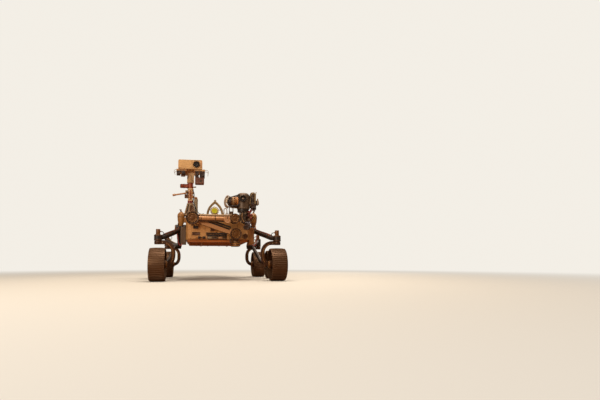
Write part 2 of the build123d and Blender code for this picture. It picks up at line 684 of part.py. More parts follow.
with BuildPart() as window:
    glass_back = HEAD_FRONT_Y + BEZEL_DEPTH + WINDOW_RECESS
    disc(
        (WINDOW_X, glass_back, BAR_TOP_Z + HEAD_HEIGHT / 2),
        (0, -1, 0),
        WINDOW_RADIUS - PIN_GAP,
        GLASS_THICKNESS,
    )
save(window.part, "head_window")

# Arm mount on the front panel, with the shoulder's turning actuator
TURN_TOP_Z = 628.0
TURN_RADIUS = 72.0
TURN_HEIGHT = 56.0
TURNTABLE_RADIUS = 66.0
SHELF_THICKNESS = 44.0
SHELF_DROP = 14.0
MOUNT_TOP_Z = 800.0
MOUNT_PLATE = 16.0
TURN_PIN_RADIUS = 24.0
TURNTABLE_THICKNESS = 20.0
MOUNT_HALF_WIDTH = 62.0
with BuildPart() as arm_mount:
    with BuildSketch(Plane.YZ.offset(SHOULDER_X - MOUNT_HALF_WIDTH)):
        with BuildLine():
            Polyline(
                (PANEL_FRONT_Y, MOUNT_TOP_Z),
                (PANEL_FRONT_Y, TURN_TOP_Z - SHELF_DROP - SHELF_THICKNESS),
                (ARM_Y, TURN_TOP_Z - SHELF_DROP - SHELF_THICKNESS),
                (ARM_Y, TURN_TOP_Z - SHELF_DROP),
                (PANEL_FRONT_Y - 2 * MOUNT_PLATE, TURN_TOP_Z - SHELF_DROP),
                (PANEL_FRONT_Y - MOUNT_PLATE, MOUNT_TOP_Z),
                close=True,
            )
        make_face()
    extrude(amount=2 * MOUNT_HALF_WIDTH)
    disc((SHOULDER_X, ARM_Y, TURN_TOP_Z - TURN_HEIGHT), (0, 0, 1), TURN_RADIUS, TURN_HEIGHT)
    disc((SHOULDER_X, ARM_Y, TURN_TOP_Z), (0, 0, 1), TURN_PIN_RADIUS, RUNNING_GAP + TURNTABLE_THICKNESS - 2)
save(arm_mount.part, "arm_mount")

# Arm pieces lie in three layers: shoulder housing, upper arm and wrist, forearm
MIDDLE_REAR_Y = ARM_Y + ARM_LAYER / 2
MIDDLE_FRONT_Y = ARM_Y - ARM_LAYER / 2
HOUSING_FRONT_Y = MIDDLE_REAR_Y + RUNNING_GAP
HOUSING_DEPTH = 58.0
FOREARM_REAR_Y = MIDDLE_FRONT_Y - RUNNING_GAP
FOREARM_FRONT_Y = FOREARM_REAR_Y - 2 * FOREARM_RADIUS
SHOULDER_PIN_RADIUS = 26.0
ELBOW_PIN_RADIUS = 28.0
WRIST_PIN_RADIUS = 24.0
turntable_z = TURN_TOP_Z + RUNNING_GAP
with BuildPart() as shoulder:
    disc((SHOULDER_X, ARM_Y, turntable_z), (0, 0, 1), TURNTABLE_RADIUS, TURNTABLE_THICKNESS)
    disc(
        (SHOULDER_X, ARM_Y, turntable_z),
        (0, 0, 1),
        TURN_PIN_RADIUS + PIN_GAP,
        TURNTABLE_THICKNESS,
        mode=Mode.SUBTRACT,
    )
    block(
        (SHOULDER_X - 52, HOUSING_FRONT_Y, turntable_z),
        (SHOULDER_X + 52, HOUSING_FRONT_Y + HOUSING_DEPTH, SHOULDER_Z),
    )
    disc(
        (SHOULDER_X, HOUSING_FRONT_Y, SHOULDER_Z),
        (0, 1, 0),
        SHOULDER_RADIUS,
        HOUSING_DEPTH,
    )
    disc(
        (SHOULDER_X, HOUSING_FRONT_Y, SHOULDER_Z),
        (0, -1, 0),
        SHOULDER_PIN_RADIUS,
        RUNNING_GAP + ARM_LAYER,
    )
save(shoulder.part, "arm_shoulder")

with BuildPart() as upper_arm:
    with BuildSketch(Plane.XZ.offset(-MIDDLE_REAR_Y)):
        with Locations((SHOULDER_X, SHOULDER_Z)):
            Circle(SHOULDER_RADIUS)
        with Locations((ELBOW_X, ELBOW_Z)):
            Circle(ELBOW_RADIUS)
        with BuildLine(mode=Mode.PRIVATE) as beam:
            Line((SHOULDER_X, SHOULDER_Z), (ELBOW_X, ELBOW_Z))
        SlotArc(beam.edge(), UPPER_ARM_WIDTH)
    extrude(amount=ARM_LAYER)
    disc(
        (SHOULDER_X, MIDDLE_FRONT_Y, SHOULDER_Z),
        (0, 1, 0),
        SHOULDER_PIN_RADIUS + PIN_GAP,
        ARM_LAYER,
        mode=Mode.SUBTRACT,
    )
    disc(
        (ELBOW_X, MIDDLE_FRONT_Y, ELBOW_Z),
        (0, -1, 0),
        ELBOW_PIN_RADIUS,
        RUNNING_GAP + 2 * FOREARM_RADIUS,
    )
save(upper_arm.part, "upper_arm")

with BuildPart() as forearm:
    forearm_y = (FOREARM_REAR_Y + FOREARM_FRONT_Y) / 2
    tube(((ELBOW_X, forearm_y, ELBOW_Z), (WRIST_X, forearm_y, WRIST_Z)), FOREARM_RADIUS, 0)
    disc((ELBOW_X, FOREARM_FRONT_Y, ELBOW_Z), (0, 1, 0), ELBOW_RADIUS, 2 * FOREARM_RADIUS)
    disc((WRIST_X, FOREARM_FRONT_Y, WRIST_Z), (0, 1, 0), WRIST_RADIUS, 2 * FOREARM_RADIUS)
    disc(
        (ELBOW_X, FOREARM_FRONT_Y, ELBOW_Z),
        (0, 1, 0),
        ELBOW_PIN_RADIUS + PIN_GAP,
        2 * FOREARM_RADIUS,
        mode=Mode.SUBTRACT,
    )
    disc((WRIST_X, FOREARM_REAR_Y, WRIST_Z), (0, 1, 0), WRIST_PIN_RADIUS, RUNNING_GAP + ARM_LAYER)
save(forearm.part, "forearm")

# Wrist: boss on the forearm's pin and the upright turret actuator
ROLL_RADIUS = 50.0
ROLL_TOP_Z = TURRET_BOTTOM_Z - RUNNING_GAP
ROLL_BOTTOM_Z = 985.0
ROLL_PIN_HEIGHT = 40.0
FLANGE_RADIUS = 96.0
FLANGE_HEIGHT = 46.0
DRIVE_BOX_LEFT = 58.0
DRIVE_BOX_RIGHT = 30.0
DRIVE_BOX_BOTTOM_Z = 962.0
DRIVE_BOX_TOP_Z = 1128.0
with BuildPart() as wrist:
    disc((WRIST_X, MIDDLE_FRONT_Y, WRIST_Z), (0, 1, 0), WRIST_RADIUS, ARM_LAYER)
    block(
        (WRIST_X, MIDDLE_FRONT_Y + 6, WRIST_Z - 36),
        (TURRET_X, MIDDLE_REAR_Y - 6, WRIST_Z + 36),
    )
    disc(
        (WRIST_X, MIDDLE_FRONT_Y, WRIST_Z),
        (0, 1, 0),
        WRIST_PIN_RADIUS + PIN_GAP,
        ARM_LAYER,
        mode=Mode.SUBTRACT,
    )
    disc((TURRET_X, ARM_Y, ROLL_BOTTOM_Z), (0, 0, 1), ROLL_RADIUS, ROLL_TOP_Z - ROLL_BOTTOM_Z)
    disc((TURRET_X, ARM_Y, ROLL_TOP_Z - FLANGE_HEIGHT), (0, 0, 1), FLANGE_RADIUS, FLANGE_HEIGHT)
    block(
        (TURRET_X - DRIVE_BOX_LEFT, FOREARM_FRONT_Y + 4, DRIVE_BOX_BOTTOM_Z),
        (TURRET_X + DRIVE_BOX_RIGHT, MIDDLE_FRONT_Y - 4, DRIVE_BOX_TOP_Z),
    )
    disc((TURRET_X, ARM_Y, ROLL_TOP_Z), (0, 0, 1), TURRET_PIN_RADIUS, RUNNING_GAP + ROLL_PIN_HEIGHT)
save(wrist.part, "arm_wrist")

# Turret: round housing with a front port, a side barrel and the coring drill
PORT_X = TURRET_X - 20
PORT_Z = 1350.0
PORT_RADIUS = 43.0
PORT_REACH = 150.0
BARREL_RADIUS = 80.0
BARREL_ROUNDING = 34.0
BARREL_END_X = TURRET_X - 255
BARREL_Z = 1318.0
DRILL_X = TURRET_X + 161
DRILL_RADIUS = 50.0
CHUCK_BORE_RADIUS = 15.0
CHUCK_BORE_DEPTH = 60.0
DRILL_BOTTOM_Z = 1172.0
with BuildPart() as turret:
    disc((TURRET_X, ARM_Y, TURRET_BOTTOM_Z), (0, 0, 1), TURRET_RADIUS, TURRET_TOP_Z - TURRET_BOTTOM_Z)
    fillet(turret.faces().sort_by(Axis.Z)[-1].edges(), TURRET_ROUNDING)
    disc((PORT_X, ARM_Y, PORT_Z), (0, -1, 0), PORT_RADIUS + 12, PORT_REACH)
    disc((PORT_X, ARM_Y - PORT_REACH, PORT_Z), (0, 1, 0), PORT_RADIUS, 22, mode=Mode.SUBTRACT)
    disc(
        (TURRET_X, ARM_Y, TURRET_BOTTOM_Z),
        (0, 0, 1),
        TURRET_PIN_RADIUS + PIN_GAP,
        ROLL_PIN_HEIGHT + 1,
        mode=Mode.SUBTRACT,
    )
save(turret.part, "turret_body")

with BuildPart() as barrel:
    disc(
        (BARREL_END_X, ARM_Y, BARREL_Z),
        (1, 0, 0),
        BARREL_RADIUS,
        TURRET_X - BARREL_END_X,
    )
    fillet(barrel.faces().sort_by(Axis.X)[0].edges(), BARREL_ROUNDING)
    disc((BARREL_END_X - 14, ARM_Y, BARREL_Z), (1, 0, 0), BARREL_RADIUS - 44, 30)
    disc(
        (TURRET_X, ARM_Y, TURRET_BOTTOM_Z - 20),
        (0, 0, 1),
        TURRET_RADIUS + PIN_GAP,
        TURRET_TOP_Z - TURRET_BOTTOM_Z + 40,
        mode=Mode.SUBTRACT,
    )
save(barrel.part, "turret_barrel")

with BuildPart() as drill:
    disc((DRILL_X, ARM_Y, DRILL_BOTTOM_Z + 40), (0, 0, 1), DRILL_RADIUS, 1452 - DRILL_BOTTOM_Z - 40)
    disc((DRILL_X, ARM_Y, DRILL_BOTTOM_Z), (0, 0, 1), 30, 40)
    block((TURRET_X, ARM_Y - 30, 1250), (DRILL_X, ARM_Y + 30, 1400))
    block((DRILL_X, ARM_Y - 28, 1262), (DRILL_X + 90, ARM_Y + 28, 1340))
    for prong_y in (ARM_Y - 44, ARM_Y + 44):
        disc((DRILL_X + 44, prong_y, DRILL_BOTTOM_Z + 10), (0, 0, 1), 8, 120)
        block((DRILL_X, prong_y - 6, 1262), (DRILL_X + 50, prong_y + 6, 1290))
    disc(
        (DRILL_X, ARM_Y, DRILL_BOTTOM_Z),
        (0, 0, 1),
        CHUCK_BORE_RADIUS,
        CHUCK_BORE_DEPTH,
        mode=Mode.SUBTRACT,
    )
    disc(
        (TURRET_X, ARM_Y, TURRET_BOTTOM_Z - 20),
        (0, 0, 1),
        TURRET_RADIUS + PIN_GAP,
        TURRET_TOP_Z - TURRET_BOTTOM_Z + 40,
        mode=Mode.SUBTRACT,
    )
save(drill.part, "coring_drill")

# Hoop over the differential's middle and the round disc inside it
HOOP_Y = -250.0
HOOP_CENTRE_X = -18.0
HOOP_HALF_WIDTH = 160.0
HOOP_SHOULDER_Z = 1225.0
HOOP_TOP_Z = 1466.0
HOOP_THICKNESS = 36.0
DISC_X = -27.0
DISC_Z = 1286.0
DISC_RADIUS = 53.0
with BuildPart() as hoop:
    with BuildSketch(Plane.XZ.offset(-HOOP_Y - HOOP_THICKNESS / 2)):
        with BuildLine():
            foot_z = DECK_Z - 2 * HOOP_THICKNESS
            right_foot = (HOOP_CENTRE_X - HOOP_HALF_WIDTH - 4, foot_z)
            right_shoulder = (HOOP_CENTRE_X - HOOP_HALF_WIDTH, HOOP_SHOULDER_Z)
            left_shoulder = (HOOP_CENTRE_X + HOOP_HALF_WIDTH, HOOP_SHOULDER_Z)
            left_foot = (HOOP_CENTRE_X + HOOP_HALF_WIDTH + 4, foot_z)
            crown = (HOOP_CENTRE_X, HOOP_TOP_Z)
            haunch_z = HOOP_SHOULDER_Z + 0.62 * (HOOP_TOP_Z - HOOP_SHOULDER_Z)
            Line(right_foot, right_shoulder)
            ThreePointArc(right_shoulder, (HOOP_CENTRE_X - 0.62 * HOOP_HALF_WIDTH, haunch_z), crown)
            ThreePointArc(crown, (HOOP_CENTRE_X + 0.62 * HOOP_HALF_WIDTH, haunch_z), left_shoulder)
            Line(left_shoulder, left_foot)
            Line(left_foot, right_foot)
        make_face()
        offset(amount=-HOOP_THICKNESS, mode=Mode.SUBTRACT)
        with Locations((HOOP_CENTRE_X, DECK_Z - HOOP_HALF_WIDTH)):
            Rectangle(4 * HOOP_HALF_WIDTH, 2 * HOOP_HALF_WIDTH, mode=Mode.SUBTRACT)
    extrude(amount=HOOP_THICKNESS)
    disc((HOOP_CENTRE_X, HOOP_Y, HOOP_TOP_Z - 26), (0, 0, 1), 18, 40)
save(hoop.part, "deck_hoop")

with BuildPart() as target:
    disc((DISC_X, HOOP_Y + 9, DISC_Z), (0, -1, 0), DISC_RADIUS, 18)
    disc((DISC_X, HOOP_Y, DECK_Z), (0, 0, 1), 9, DISC_Z - DISC_RADIUS / 2 - DECK_Z)
save(target.part, "deck_disc")

# Small units on the deck: centre x, centre y, width, depth, height
DECK_UNITS = (
    (-241, -250, 34, 34, 90),
    (232, -215, 60, 60, 70),
    (330, -520, 110, 90, 34),
    (60, -640, 130, 110, 28),
    (-140, -640, 110, 110, 28),
    (-150, 400, 210, 170, 52),
    (-430, 180, 130, 240, 58),
    (440, 420, 120, 180, 46),
)
# Raised plate that takes extra equipment
PAD_X = 200.0
PAD_Y = 555.0
PAD_WIDTH = 220.0
PAD_DEPTH = 150.0
PAD_HEIGHT = 14.0
LOOP_X = 178.0
LOOP_Y = -281.0
LOOP_HALF_WIDTH = 28.0
LOOP_TOP_Z = 1330.0
LOOP_RADIUS = 8.0
with BuildPart() as deck_units:
    for centre_x, centre_y, width, depth, height in DECK_UNITS:
        block(
            (centre_x - width / 2, centre_y - depth / 2, DECK_Z),
            (centre_x + width / 2, centre_y + depth / 2, DECK_Z + height),
        )
    block(
        (PAD_X - PAD_WIDTH / 2, PAD_Y - PAD_DEPTH / 2, DECK_Z),
        (PAD_X + PAD_WIDTH / 2, PAD_Y + PAD_DEPTH / 2, DECK_Z + PAD_HEIGHT),
    )
    loop_route = (
        (LOOP_X - LOOP_HALF_WIDTH, LOOP_Y, DECK_Z),
        (LOOP_X - LOOP_HALF_WIDTH, LOOP_Y, LOOP_TOP_Z),
        (LOOP_X + LOOP_HALF_WIDTH, LOOP_Y, LOOP_TOP_Z),
        (LOOP_X + LOOP_HALF_WIDTH, LOOP_Y, DECK_Z),
    )
    tube(loop_route, LOOP_RADIUS, LOOP_HALF_WIDTH - 2)
save(deck_units.part, "deck_units")

# Antennas on the deck
UHF_X = 160 - BODY_HALF_WIDTH
UHF_RADIUS = 37.0
UHF_TOP_Z = 1520.0
with BuildPart() as uhf:
    disc((UHF_X, HOOP_Y, DECK_Z), (0, 0, 1), UHF_RADIUS, UHF_TOP_Z - DECK_Z)
    fillet(uhf.faces().sort_by(Axis.Z)[-1].edges(), 20)
    disc((UHF_X, HOOP_Y, DECK_Z), (0, 0, 1), UHF_RADIUS + 11, 24)
save(uhf.part, "relay_antenna")

LOW_GAIN_X = 90.0
LOW_GAIN_Y = 380.0
with BuildPart() as low_gain:
    disc((LOW_GAIN_X, LOW_GAIN_Y, DECK_Z), (0, 0, 1), 22, 130)
    disc((LOW_GAIN_X, LOW_GAIN_Y, DECK_Z + 130), (0, 0, 1), 34, 26)
    chamfer(low_gain.faces().sort_by(Axis.Z)[-1].edges(), 10)
save(low_gain.part, "low_gain_antenna")

ANTENNA_BASE_TOP_Z = 1215.0
ANTENNA_PIN_RADIUS = 16.0
GIMBAL_TOP_Z = 1330.0
YOKE_INNER = 30.0
YOKE_THICKNESS = 14.0
YOKE_RADIUS = 24.0
DISH_PIN_RADIUS = 9.0
DISH_OFFSET = 62.0
with BuildPart() as antenna_base:
    block((ANTENNA_X - 60, ANTENNA_Y - 60, DECK_Z), (ANTENNA_X + 60, ANTENNA_Y + 60, DECK_Z + 26))
    disc((ANTENNA_X, ANTENNA_Y, DECK_Z), (0, 0, 1), 40, ANTENNA_BASE_TOP_Z - DECK_Z)
    disc((ANTENNA_X, ANTENNA_Y, ANTENNA_BASE_TOP_Z), (0, 0, 1), ANTENNA_PIN_RADIUS, 36)
save(antenna_base.part, "antenna_base")

with BuildPart() as gimbal:
    gimbal_bottom = ANTENNA_BASE_TOP_Z + RUNNING_GAP
    disc((ANTENNA_X, ANTENNA_Y, gimbal_bottom), (0, 0, 1), 44, GIMBAL_TOP_Z - gimbal_bottom)
    disc(
        (ANTENNA_X, ANTENNA_Y, gimbal_bottom),
        (0, 0, 1),
        ANTENNA_PIN_RADIUS + PIN_GAP,
        36,
        mode=Mode.SUBTRACT,
    )
    for cheek_x in (ANTENNA_X - YOKE_INNER - YOKE_THICKNESS, ANTENNA_X + YOKE_INNER):
        block(
            (cheek_x, ANTENNA_Y - YOKE_RADIUS, GIMBAL_TOP_Z - 20),
            (cheek_x + YOKE_THICKNESS, ANTENNA_Y + YOKE_RADIUS, ANTENNA_TILT_Z),
        )
        disc((cheek_x, ANTENNA_Y, ANTENNA_TILT_Z), (1, 0, 0), YOKE_RADIUS, YOKE_THICKNESS)
    disc(
        (ANTENNA_X - YOKE_INNER, ANTENNA_Y, ANTENNA_TILT_Z),
        (1, 0, 0),
        DISH_PIN_RADIUS,
        2 * YOKE_INNER,
    )
save(gimbal.part, "antenna_gimbal")

dish_normal = (0, -cos(radians(DISH_LEAN)), sin(radians(DISH_LEAN)))
dish_plane = Plane(origin=(ANTENNA_X, ANTENNA_Y, ANTENNA_TILT_Z), x_dir=(1, 0, 0), z_dir=dish_normal)
with BuildPart() as dish:
    with BuildSketch(dish_plane.offset(DISH_OFFSET)):
        RegularPolygon(DISH_RADIUS, 6)
    extrude(amount=DISH_THICKNESS)
    with BuildSketch(dish_plane.offset(DISH_OFFSET - 10)):
        RegularPolygon(DISH_RADIUS - 30, 6)
    extrude(amount=10)
    with BuildSketch(dish_plane):
        with Locations((0, 0)):
            Rectangle(2 * (YOKE_INNER - RUNNING_GAP), 2 * YOKE_RADIUS - 8)
    extrude(amount=DISH_OFFSET - 10)
    disc(
        (ANTENNA_X - YOKE_INNER + RUNNING_GAP, ANTENNA_Y, ANTENNA_TILT_Z),
        (1, 0, 0),
        YOKE_RADIUS - 4,
        2 * (YOKE_INNER - RUNNING_GAP),
    )
    disc(
        (ANTENNA_X - YOKE_INNER, ANTENNA_Y, ANTENNA_TILT_Z),
        (1, 0, 0),
        DISH_PIN_RADIUS + PIN_GAP,
        2 * YOKE_INNER,
        mode=Mode.SUBTRACT,
    )
save(dish.part, "antenna_dish")

# Power source: a finned cylinder behind the body, on a mount, between two heat plates
source_axis = (0, cos(radians(SOURCE_TILT)), sin(radians(SOURCE_TILT)))
source_plane = Plane(origin=(0, SOURCE_Y, SOURCE_Z), x_dir=(1, 0, 0), z_dir=source_axis)
FIN_LENGTH = SOURCE_LENGTH - SOURCE_END_MARGIN
with BuildPart() as source:
    with BuildSketch(source_plane):
        Circle(SOURCE_CORE_RADIUS)
    extrude(amount=SOURCE_LENGTH / 2, both=True)
    with BuildSketch(source_plane.offset(SOURCE_LENGTH / 2 - FIN_LENGTH)):
        with PolarLocations(SOURCE_FIN_RADIUS / 2, SOURCE_FIN_COUNT, 360 / SOURCE_FIN_COUNT / 2):
            Rectangle(SOURCE_FIN_RADIUS, FIN_THICKNESS)
    extrude(amount=FIN_LENGTH)
save(source.part, "power_source")

MOUNT_TUBE_RADIUS = 70.0
MOUNT_TUBE_LENGTH = 260.0
with BuildPart() as source_mount:
    with BuildSketch(source_plane.offset(-SOURCE_LENGTH / 2)):
        Circle(MOUNT_TUBE_RADIUS)
    extrude(amount=-MOUNT_TUBE_LENGTH)
    block(
        (-BODY_HALF_WIDTH, BODY_FRONT_Y, BODY_BOTTOM_Z),
        (BODY_HALF_WIDTH, BODY_REAR_Y, BODY_TOP_Z),
        mode=Mode.SUBTRACT,
    )
save(source_mount.part, "source_mount")

PLATE_X = 372.0
PLATE_THICKNESS = 26.0
PLATE_START_Y = 700.0
PLATE_END_Y = 1270.0
PLATE_BOTTOM_Z = 720.0
PLATE_TOP_Z = 1180.0
PLATE_CUT = 130.0
STRUT_RADIUS = 12.0
with BuildPart() as heat_plates:
    with BuildSketch(Plane.YZ.offset(PLATE_X)):
        with BuildLine():
            Polyline(
                (PLATE_START_Y, PLATE_BOTTOM_Z),
                (PLATE_END_Y - PLATE_CUT, PLATE_BOTTOM_Z),
                (PLATE_END_Y, PLATE_BOTTOM_Z + PLATE_CUT),
                (PLATE_END_Y, PLATE_TOP_Z),
                (PLATE_START_Y, PLATE_TOP_Z - 60),
                close=True,
            )
        make_face()
    extrude(amount=PLATE_THICKNESS)
    for strut_z in (PLATE_BOTTOM_Z + 60, PLATE_TOP_Z - 150):
        disc(
            (PLATE_X + PLATE_THICKNESS / 2, BODY_REAR_Y, strut_z),
            (0, 1, 0),
            STRUT_RADIUS,
            PLATE_START_Y - BODY_REAR_Y + 10,
        )
    mirror(about=Plane.YZ)
save(heat_plates.part, "heat_plates")

# Hazard cameras: centre x, face y, direction, centre z
HAZARD_CAMERAS = (
    (-314, PANEL_FRONT_Y - 8, -1, 722),
    (-236, PANEL_FRONT_Y, -1, 722),
    (-430, BODY_REAR_Y, 1, 800),
    (430, BODY_REAR_Y, 1, 800),
)
with BuildPart() as hazard:
    for centre_x, face_y, heading, centre_z in HAZARD_CAMERAS:
        far_y = face_y + heading * 40
        block(
            (centre_x - 24, min(face_y, far_y), centre_z - 20),
            (centre_x + 24, max(face_y, far_y), centre_z + 20),
        )
        disc((centre_x, far_y, centre_z), (0, heading, 0), 15, 12)
save(hazard.part, "hazard_cameras")
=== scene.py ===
# %% [markdown]
# A planetary rover dressed on its CAD frame.
# The CAD parts are loaded first and stay where they are. Each later cell adds
# something the solids leave out: cleats and spokes, lenses, cables, bolts,
# pipes, and a layered finish for every surface.

# %% Load the frame
import bmesh
import bpy
from math import cos, pi, radians, sin
from mathutils import Matrix, Vector


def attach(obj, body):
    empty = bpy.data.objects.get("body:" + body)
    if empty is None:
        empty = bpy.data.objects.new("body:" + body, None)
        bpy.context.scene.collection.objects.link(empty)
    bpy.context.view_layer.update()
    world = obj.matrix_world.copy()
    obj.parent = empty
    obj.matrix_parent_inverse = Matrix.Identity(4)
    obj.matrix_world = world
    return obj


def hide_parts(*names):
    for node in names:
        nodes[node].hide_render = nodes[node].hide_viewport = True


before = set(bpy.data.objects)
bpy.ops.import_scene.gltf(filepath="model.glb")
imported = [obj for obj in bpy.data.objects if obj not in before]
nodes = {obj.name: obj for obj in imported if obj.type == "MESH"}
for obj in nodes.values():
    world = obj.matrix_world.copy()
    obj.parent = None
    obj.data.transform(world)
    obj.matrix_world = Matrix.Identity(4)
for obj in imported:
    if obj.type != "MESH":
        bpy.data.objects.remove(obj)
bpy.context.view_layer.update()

scene = bpy.context.scene
UP, DOWN, FRONT, BACK, LEFT, RIGHT = (
    (0, 0, 1), (0, 0, -1), (0, -1, 0), (0, 1, 0), (1, 0, 0), (-1, 0, 0))
SIDES = (("right", -1), ("left", 1))

# %% [markdown]
# The rover is seen nearly from the front, from the height of its axles, and it
# stands left of the middle of the picture. A 23 mm lens at six metres gives the
# same size change between front and rear wheels. The camera turns half of the
# way and the lens shift does the rest, so that the uprights stay upright.

# %% Camera
camera_data = bpy.data.cameras.new("viewer")
camera_data.sensor_width = 36.0
camera_data.lens = 23.05
camera_data.shift_x = 0.0863
camera_data.shift_y = 0.0534
camera_data.clip_end = 200.0
camera = bpy.data.objects.new("viewer", camera_data)
camera.location = (-0.352, -7.534, 0.285)
camera.rotation_euler = (radians(90 + 4.69), 0, radians(-7.60))
scene.collection.objects.link(camera)
scene.camera = camera

# %% [markdown]
# Soft light from above, as under a bright hazy sky, with a warm fill from the
# front. The sky is pale where the camera looks at it. It is dimmer where it
# lights the object, and warmer still where a smooth surface mirrors it.

# %% Light, sky and floor
scene.view_settings.view_transform = "Standard"
HAZE = (0.90, 0.86, 0.79, 1)
MIRRORED_SKY = (0.80, 0.60, 0.42, 1)
SKY_LIGHT = (1.0, 0.88, 0.74, 1)
DARK_SAND = (0.30, 0.165, 0.085, 1)
PALE_SAND = (0.72, 0.66, 0.58, 1)


def feed(tree, socket, source):
    """Fills a socket with another node's output or with a plain value."""
    if hasattr(source, "links"):
        tree.links.new(source, socket)
    else:
        socket.default_value = source


def shade(tree, kind, *inputs, **values):
    """Adds a shader node: settings and sockets by name, its first sockets in order."""
    node = tree.nodes.new("ShaderNode" + kind)
    for key, value in values.items():
        if hasattr(node, key):
            setattr(node, key, value)
        else:
            feed(tree, node.inputs[key.replace("_", " ")], value)
    for socket, source in zip(node.inputs, inputs):
        feed(tree, socket, source)
    return node


def maths(tree, operation, *inputs):
    """The result of a Math node."""
    return shade(tree, "Math", *inputs, operation=operation).outputs[0]


def measure(tree, operation, *inputs):
    """The number that a Vector Math node gives."""
    return shade(tree, "VectorMath", *inputs, operation=operation).outputs["Value"]


def spread(tree, source, low, high, **values):
    """A value moved from one range to another."""
    return shade(tree, "MapRange", source, From_Min=low, From_Max=high, **values).outputs[0]


def ramp(tree, source, low, high, start=(0, 0, 0, 1), end=(1, 1, 1, 1)):
    """A colour ramp between two places."""
    node = shade(tree, "ValToRGB", source)
    for element, place, colour in zip(node.color_ramp.elements, (low, high), (start, end)):
        element.position = place
        element.color = colour
    return node.outputs[0]


def blend_colour(tree, share, first, second, kind="MIX"):
    """Mixes two colours or colour sockets by a share that may be a socket."""
    node = shade(tree, "Mix", data_type="RGBA", blend_type=kind)
    for number, source in ((0, share), (6, first), (7, second)):
        feed(tree, node.inputs[number], source)
    return node.outputs[2]


def new_material(name):
    """A material with an empty node tree."""
    material = bpy.data.materials.new(name)
    material.use_nodes = True
    material.node_tree.nodes.clear()
    return material, material.node_tree


def linear(red, green, blue):
    """A colour read off a picture, 0 to 255, as the linear numbers Blender wants."""
    shares = [value / 255 for value in (red, green, blue)]
    return (*(v / 12.92 if v <= 0.04045 else ((v + 0.055) / 1.055) ** 2.4 for v in shares), 1.0)


sky = bpy.data.worlds.new("haze")
scene.world = sky
sky.use_nodes = True
tree = sky.node_tree
tree.nodes.clear()
seen, mirrored, lit = (
    shade(tree, "Background", Color=colour, Strength=strength).outputs[0]
    for colour, strength in ((HAZE, 1.0), (MIRRORED_SKY, 0.6), (SKY_LIGHT, 0.36)))
ray = shade(tree, "LightPath").outputs
eye_or_glass = maths(tree, "MAXIMUM", ray["Is Camera Ray"], ray["Is Transmission Ray"])
on_rover = shade(tree, "MixShader", ray["Is Glossy Ray"], lit, mirrored).outputs[0]
shade(tree, "OutputWorld", shade(tree, "MixShader", eye_or_glass, on_rover, seen).outputs[0])

# Square soft lights: name, place, target, size, power, colour
LAMPS = (
    ("sky_panel", (0.5, -1.5, 7.0), (0, 0, 0.6), 5.0, 500, (1.0, 0.92, 0.81)),
    ("front_fill", (-4.5, -7.5, 3.2), (0, -0.8, 1.0), 3.5, 275, (1.0, 0.89, 0.74)),
    ("rim_light", (4.5, 5.0, 4.0), (0, 0, 1.0), 3.0, 150, (1.0, 0.93, 0.84)),
)
for name, place, target, size, power, colour in LAMPS:
    data = bpy.data.lights.new(name, "AREA")
    data.size, data.energy, data.color = size, power, colour
    lamp = bpy.data.objects.new(name, data)
    lamp.location = place
    lamp.rotation_euler = (Vector(target) - Vector(place)).to_track_quat("-Z", "Y").to_euler()
    scene.collection.objects.link(lamp)

bpy.ops.object.select_all(action="DESELECT")
bpy.ops.mesh.primitive_plane_add(size=120)
floor = bpy.context.active_object
floor.name = "floor"
floor_paint, tree = new_material("floor_paint")
# The camera sees a pale floor, and the rover is lit from below by a darker, sandy one.
eye = shade(tree, "LightPath").outputs["Is Camera Ray"]
skin = shade(tree, "BsdfPrincipled", Roughness=0.9,
             Base_Color=blend_colour(tree, eye, DARK_SAND, PALE_SAND))
# Far from the rover the floor turns into the haze, so no dark line shows at the horizon.
reach = measure(tree, "LENGTH", shade(tree, "TexCoord").outputs["Object"])
fade = spread(tree, reach, 1.5, 13.0, interpolation_type="SMOOTHSTEP")
haze = shade(tree, "Emission", Color=HAZE, Strength=1.0)
ground = shade(tree, "MixShader", maths(tree, "MULTIPLY", fade, eye), skin.outputs[0],
               haze.outputs[0])
shade(tree, "OutputMaterial", ground.outputs[0])
floor.data.materials.append(floor_paint)

# %% [markdown]
# Every finish is built in the same layers: a colour that drifts slowly over the
# surface, fine grain, dust on faces that look up, and bare or darker material
# where edges rub. The Bevel node finds the edges, and it also rounds them for
# the light, since the CAD meshes have sharp ones. A real rover has painted
# aluminium, film-wrapped boxes, anodised joints and bare metal, so one builder
# with a few numbers gives all of these, each with its own scale of grain.

# %% One builder for layered finishes
DUST = linear(196, 140, 98)
GRAIN_DARK, GRAIN_LIGHT = (0.80, 0.80, 0.80, 1), (1.08, 1.08, 1.08, 1)
paints = {}


